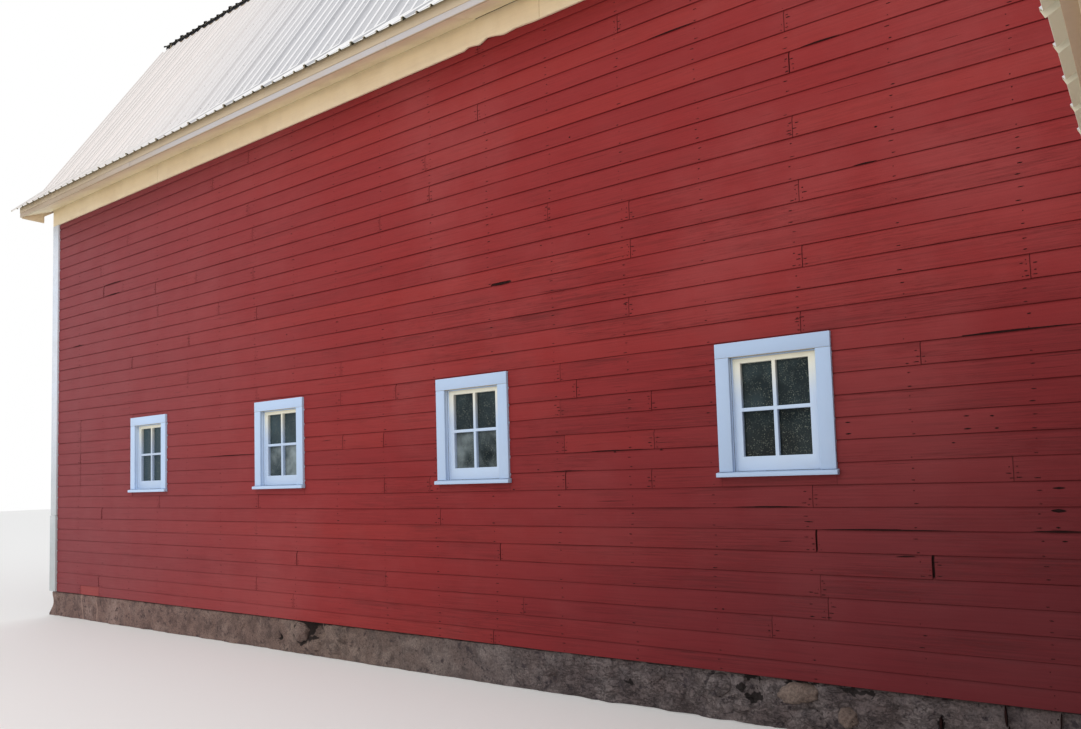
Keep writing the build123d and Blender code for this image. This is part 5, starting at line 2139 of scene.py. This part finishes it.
def makeTrack():
    d = barnDoor
    foot, head = d["trackFoot"] - floorLevel, d["trackHead"] - floorLevel
    a, b = gableHalf - d["trackHalf"], gableHalf + d["trackHalf"]
    out, thick = -d["trackOut"], d["trackThick"]
    past = thick + d["trackGap"]
    parts = [addBlock("trackBack", (a, -thick, foot), (b, 0.0, head)),
             addBlock("trackTop", (a, out, head - thick), (b, -past, head)),
             addBlock("trackLip", (a, out, head - d["trackLip"]), (b, out + thick, head - past))]
    for side in (-1, 1):
        for part in (0.22, 0.78):
            s = gableHalf + side * (d["gap"] + part * (leafEnd - d["gap"]))
            parts.append(addBlock("hanger", (s - 0.03, -0.056, foot - 0.2), (s + 0.03, -0.0505, foot + 0.05)))
    track = soften(joinAll("doorTrack", parts), 0.0015)
    track.data.transform(rightPlace)
    return track


def makeWingDoor():
    middle = wingSpan / 2
    face, head, casing = wing["doorRecess"], wing["doorHeight"], wing["doorCasing"]
    edge, far = middle - wing["doorHalf"], middle + wing["doorHalf"]
    door = addBlock("wingDoor", (edge, face, 0.0), (far, face + wing["doorDepth"], head))
    openEdit(door, "FACE")
    for height in sum(wing["doorPanels"], ()):
        cutAt((0, 0, height), (0, 0, 1))
    for low, high in wing["doorPanels"]:
        choose(door, "faces", lambda f: f.normal.y < -0.9 and low < f.calc_center_median().z < high)
        bpy.ops.mesh.inset(thickness=wing["panelEdge"], depth=0)
        bpy.ops.mesh.inset(thickness=wing["panelBevel"], depth=-wing["panelDepth"])
    closeEdit()
    soften(door, 0.002)
    knob = soften(addBlock("knob", (far - 0.075, face - 0.006, 0.93), (far - 0.045, face, 1.05)), 0.004)
    parts = [addBlock("doorCasing", (edge - casing, -0.021, 0.0), (edge, 0.019, head - 0.001)),
             addBlock("doorCasing", (far, -0.021, 0.0), (far + casing, 0.019, head - 0.001)),
             addBlock("doorCasing", (edge - casing, -0.022, head), (far + casing, 0.019, head + casing))]
    trim = soften(joinAll("wingDoorCasing", parts), 0.002)
    for piece in (door, knob, trim):
        piece.data.transform(wingGablePlace)
    return door, knob, trim


leafEnd = barnDoor["leafWidth"] + barnDoor["gap"]
dress(makeBarnDoors(), doorRed, "red_siding", "barn_doors")
dress(makeTrack(), cornerPaint, "white_trim", "door_track")
wingDoor, knob, doorTrim = makeWingDoor()
dress(wingDoor, whitePaint, "white_trim", "wing_door")
dress(knob, screwSteel, "roof_steel")
dress(doorTrim, whitePaint, "white_trim", "wing_door_casing")
print("Barn: doors are hung")

for nodeName in ("front_wall", "back_wall", "left_gable_wall", "right_gable_wall", "wing_left_wall",
                 "wing_right_wall", "wing_gable_wall"):
    paintNode(nodeName, wallTimber)
for nodeName in ("lower_front_roof", "lower_back_roof", "wing_left_roof", "wing_right_roof"):
    paintNode(nodeName, roofTimber)
paintNode("floor_slab", floorConcrete)

# Floor, light and camera
stage = {
    "floorSize": 160.0,
    "floorDrop": 0.002,
    "worldLight": 0.95,
    "lamps": (
        ("softLight", (-4.0, -22.0, 16.0), (0.0, 0.0, 3.0), (14.0, 14.0), 1150.0, (1.0, 1.0, 1.0)),
        ("lowLight", (-2.0, -17.0, 1.5), (-3.0, -5.0, 5.2), (14.0, 2.2), 300.0, (1.0, 0.90, 0.74)),
    ),
}


def makeFloor():
    floor = addNew("floor", bpy.ops.mesh.primitive_plane_add, size=stage["floorSize"],
                   location=(0, 0, -stage["floorDrop"]))
    startMaterial("pale floor")
    floor.data.materials.append(endMaterial(grey(0.86), 0.9))


def makeWorld():
    # The white studio is a little brighter where it is seen or reflected than where it lights
    world = bpy.data.worlds.new("studio")
    bpy.context.scene.world = world
    world.use_nodes = True
    opened["tree"] = world.node_tree
    rays = node("LightPath", {})
    seen = most(rays["Is Camera Ray"], rays["Is Glossy Ray"], rays["Is Transmission Ray"])
    strength = node("MapRange", {"Value": seen, "To Min": stage["worldLight"], "To Max": 1.0})["Result"]
    background = world.node_tree.nodes["Background"].inputs
    background["Color"].default_value = (1, 1, 1, 1)
    wire(background["Strength"], strength)


def makeLamps():
    for name, place, target, size, power, colour in stage["lamps"]:
        lamp = addNew(name, bpy.ops.object.light_add, type="AREA", location=place)
        lamp.data.shape = "RECTANGLE"
        lamp.data.size, lamp.data.size_y = size
        lamp.data.energy = power
        lamp.data.color = colour
        toward = Vector(target) - Vector(place)
        lamp.rotation_euler = toward.to_track_quat("-Z", "Y").to_euler()


view = {
    "eye": (2.453, -9.948, 1.566),
    "heading": 36.51,
    "pitch": 3.87,
    "roll": -1.68,
    "lens": 28.31,
    "sensor": 36.0,
    "shiftUp": 0.0514,
    "farEnd": 400,
}


def makeCamera():
    camera = addNew("photoView", bpy.ops.object.camera_add, location=view["eye"])
    turn = Matrix()
    for degrees, axis in ((view["heading"], "Z"), (90 + view["pitch"], "X"), (view["roll"], "Z")):
        turn = turn @ Matrix.Rotation(math.radians(degrees), 4, axis)
    camera.rotation_euler = turn.to_euler()
    camera.data.lens = view["lens"]
    camera.data.sensor_width = view["sensor"]
    camera.data.shift_y = view["shiftUp"]
    camera.data.clip_end = view["farEnd"]
    bpy.context.scene.camera = camera


makeFloor()
makeWorld()
makeLamps()
makeCamera()
bpy.context.scene.view_settings.view_transform = "Standard"
print("Barn: stage, light and camera are set")
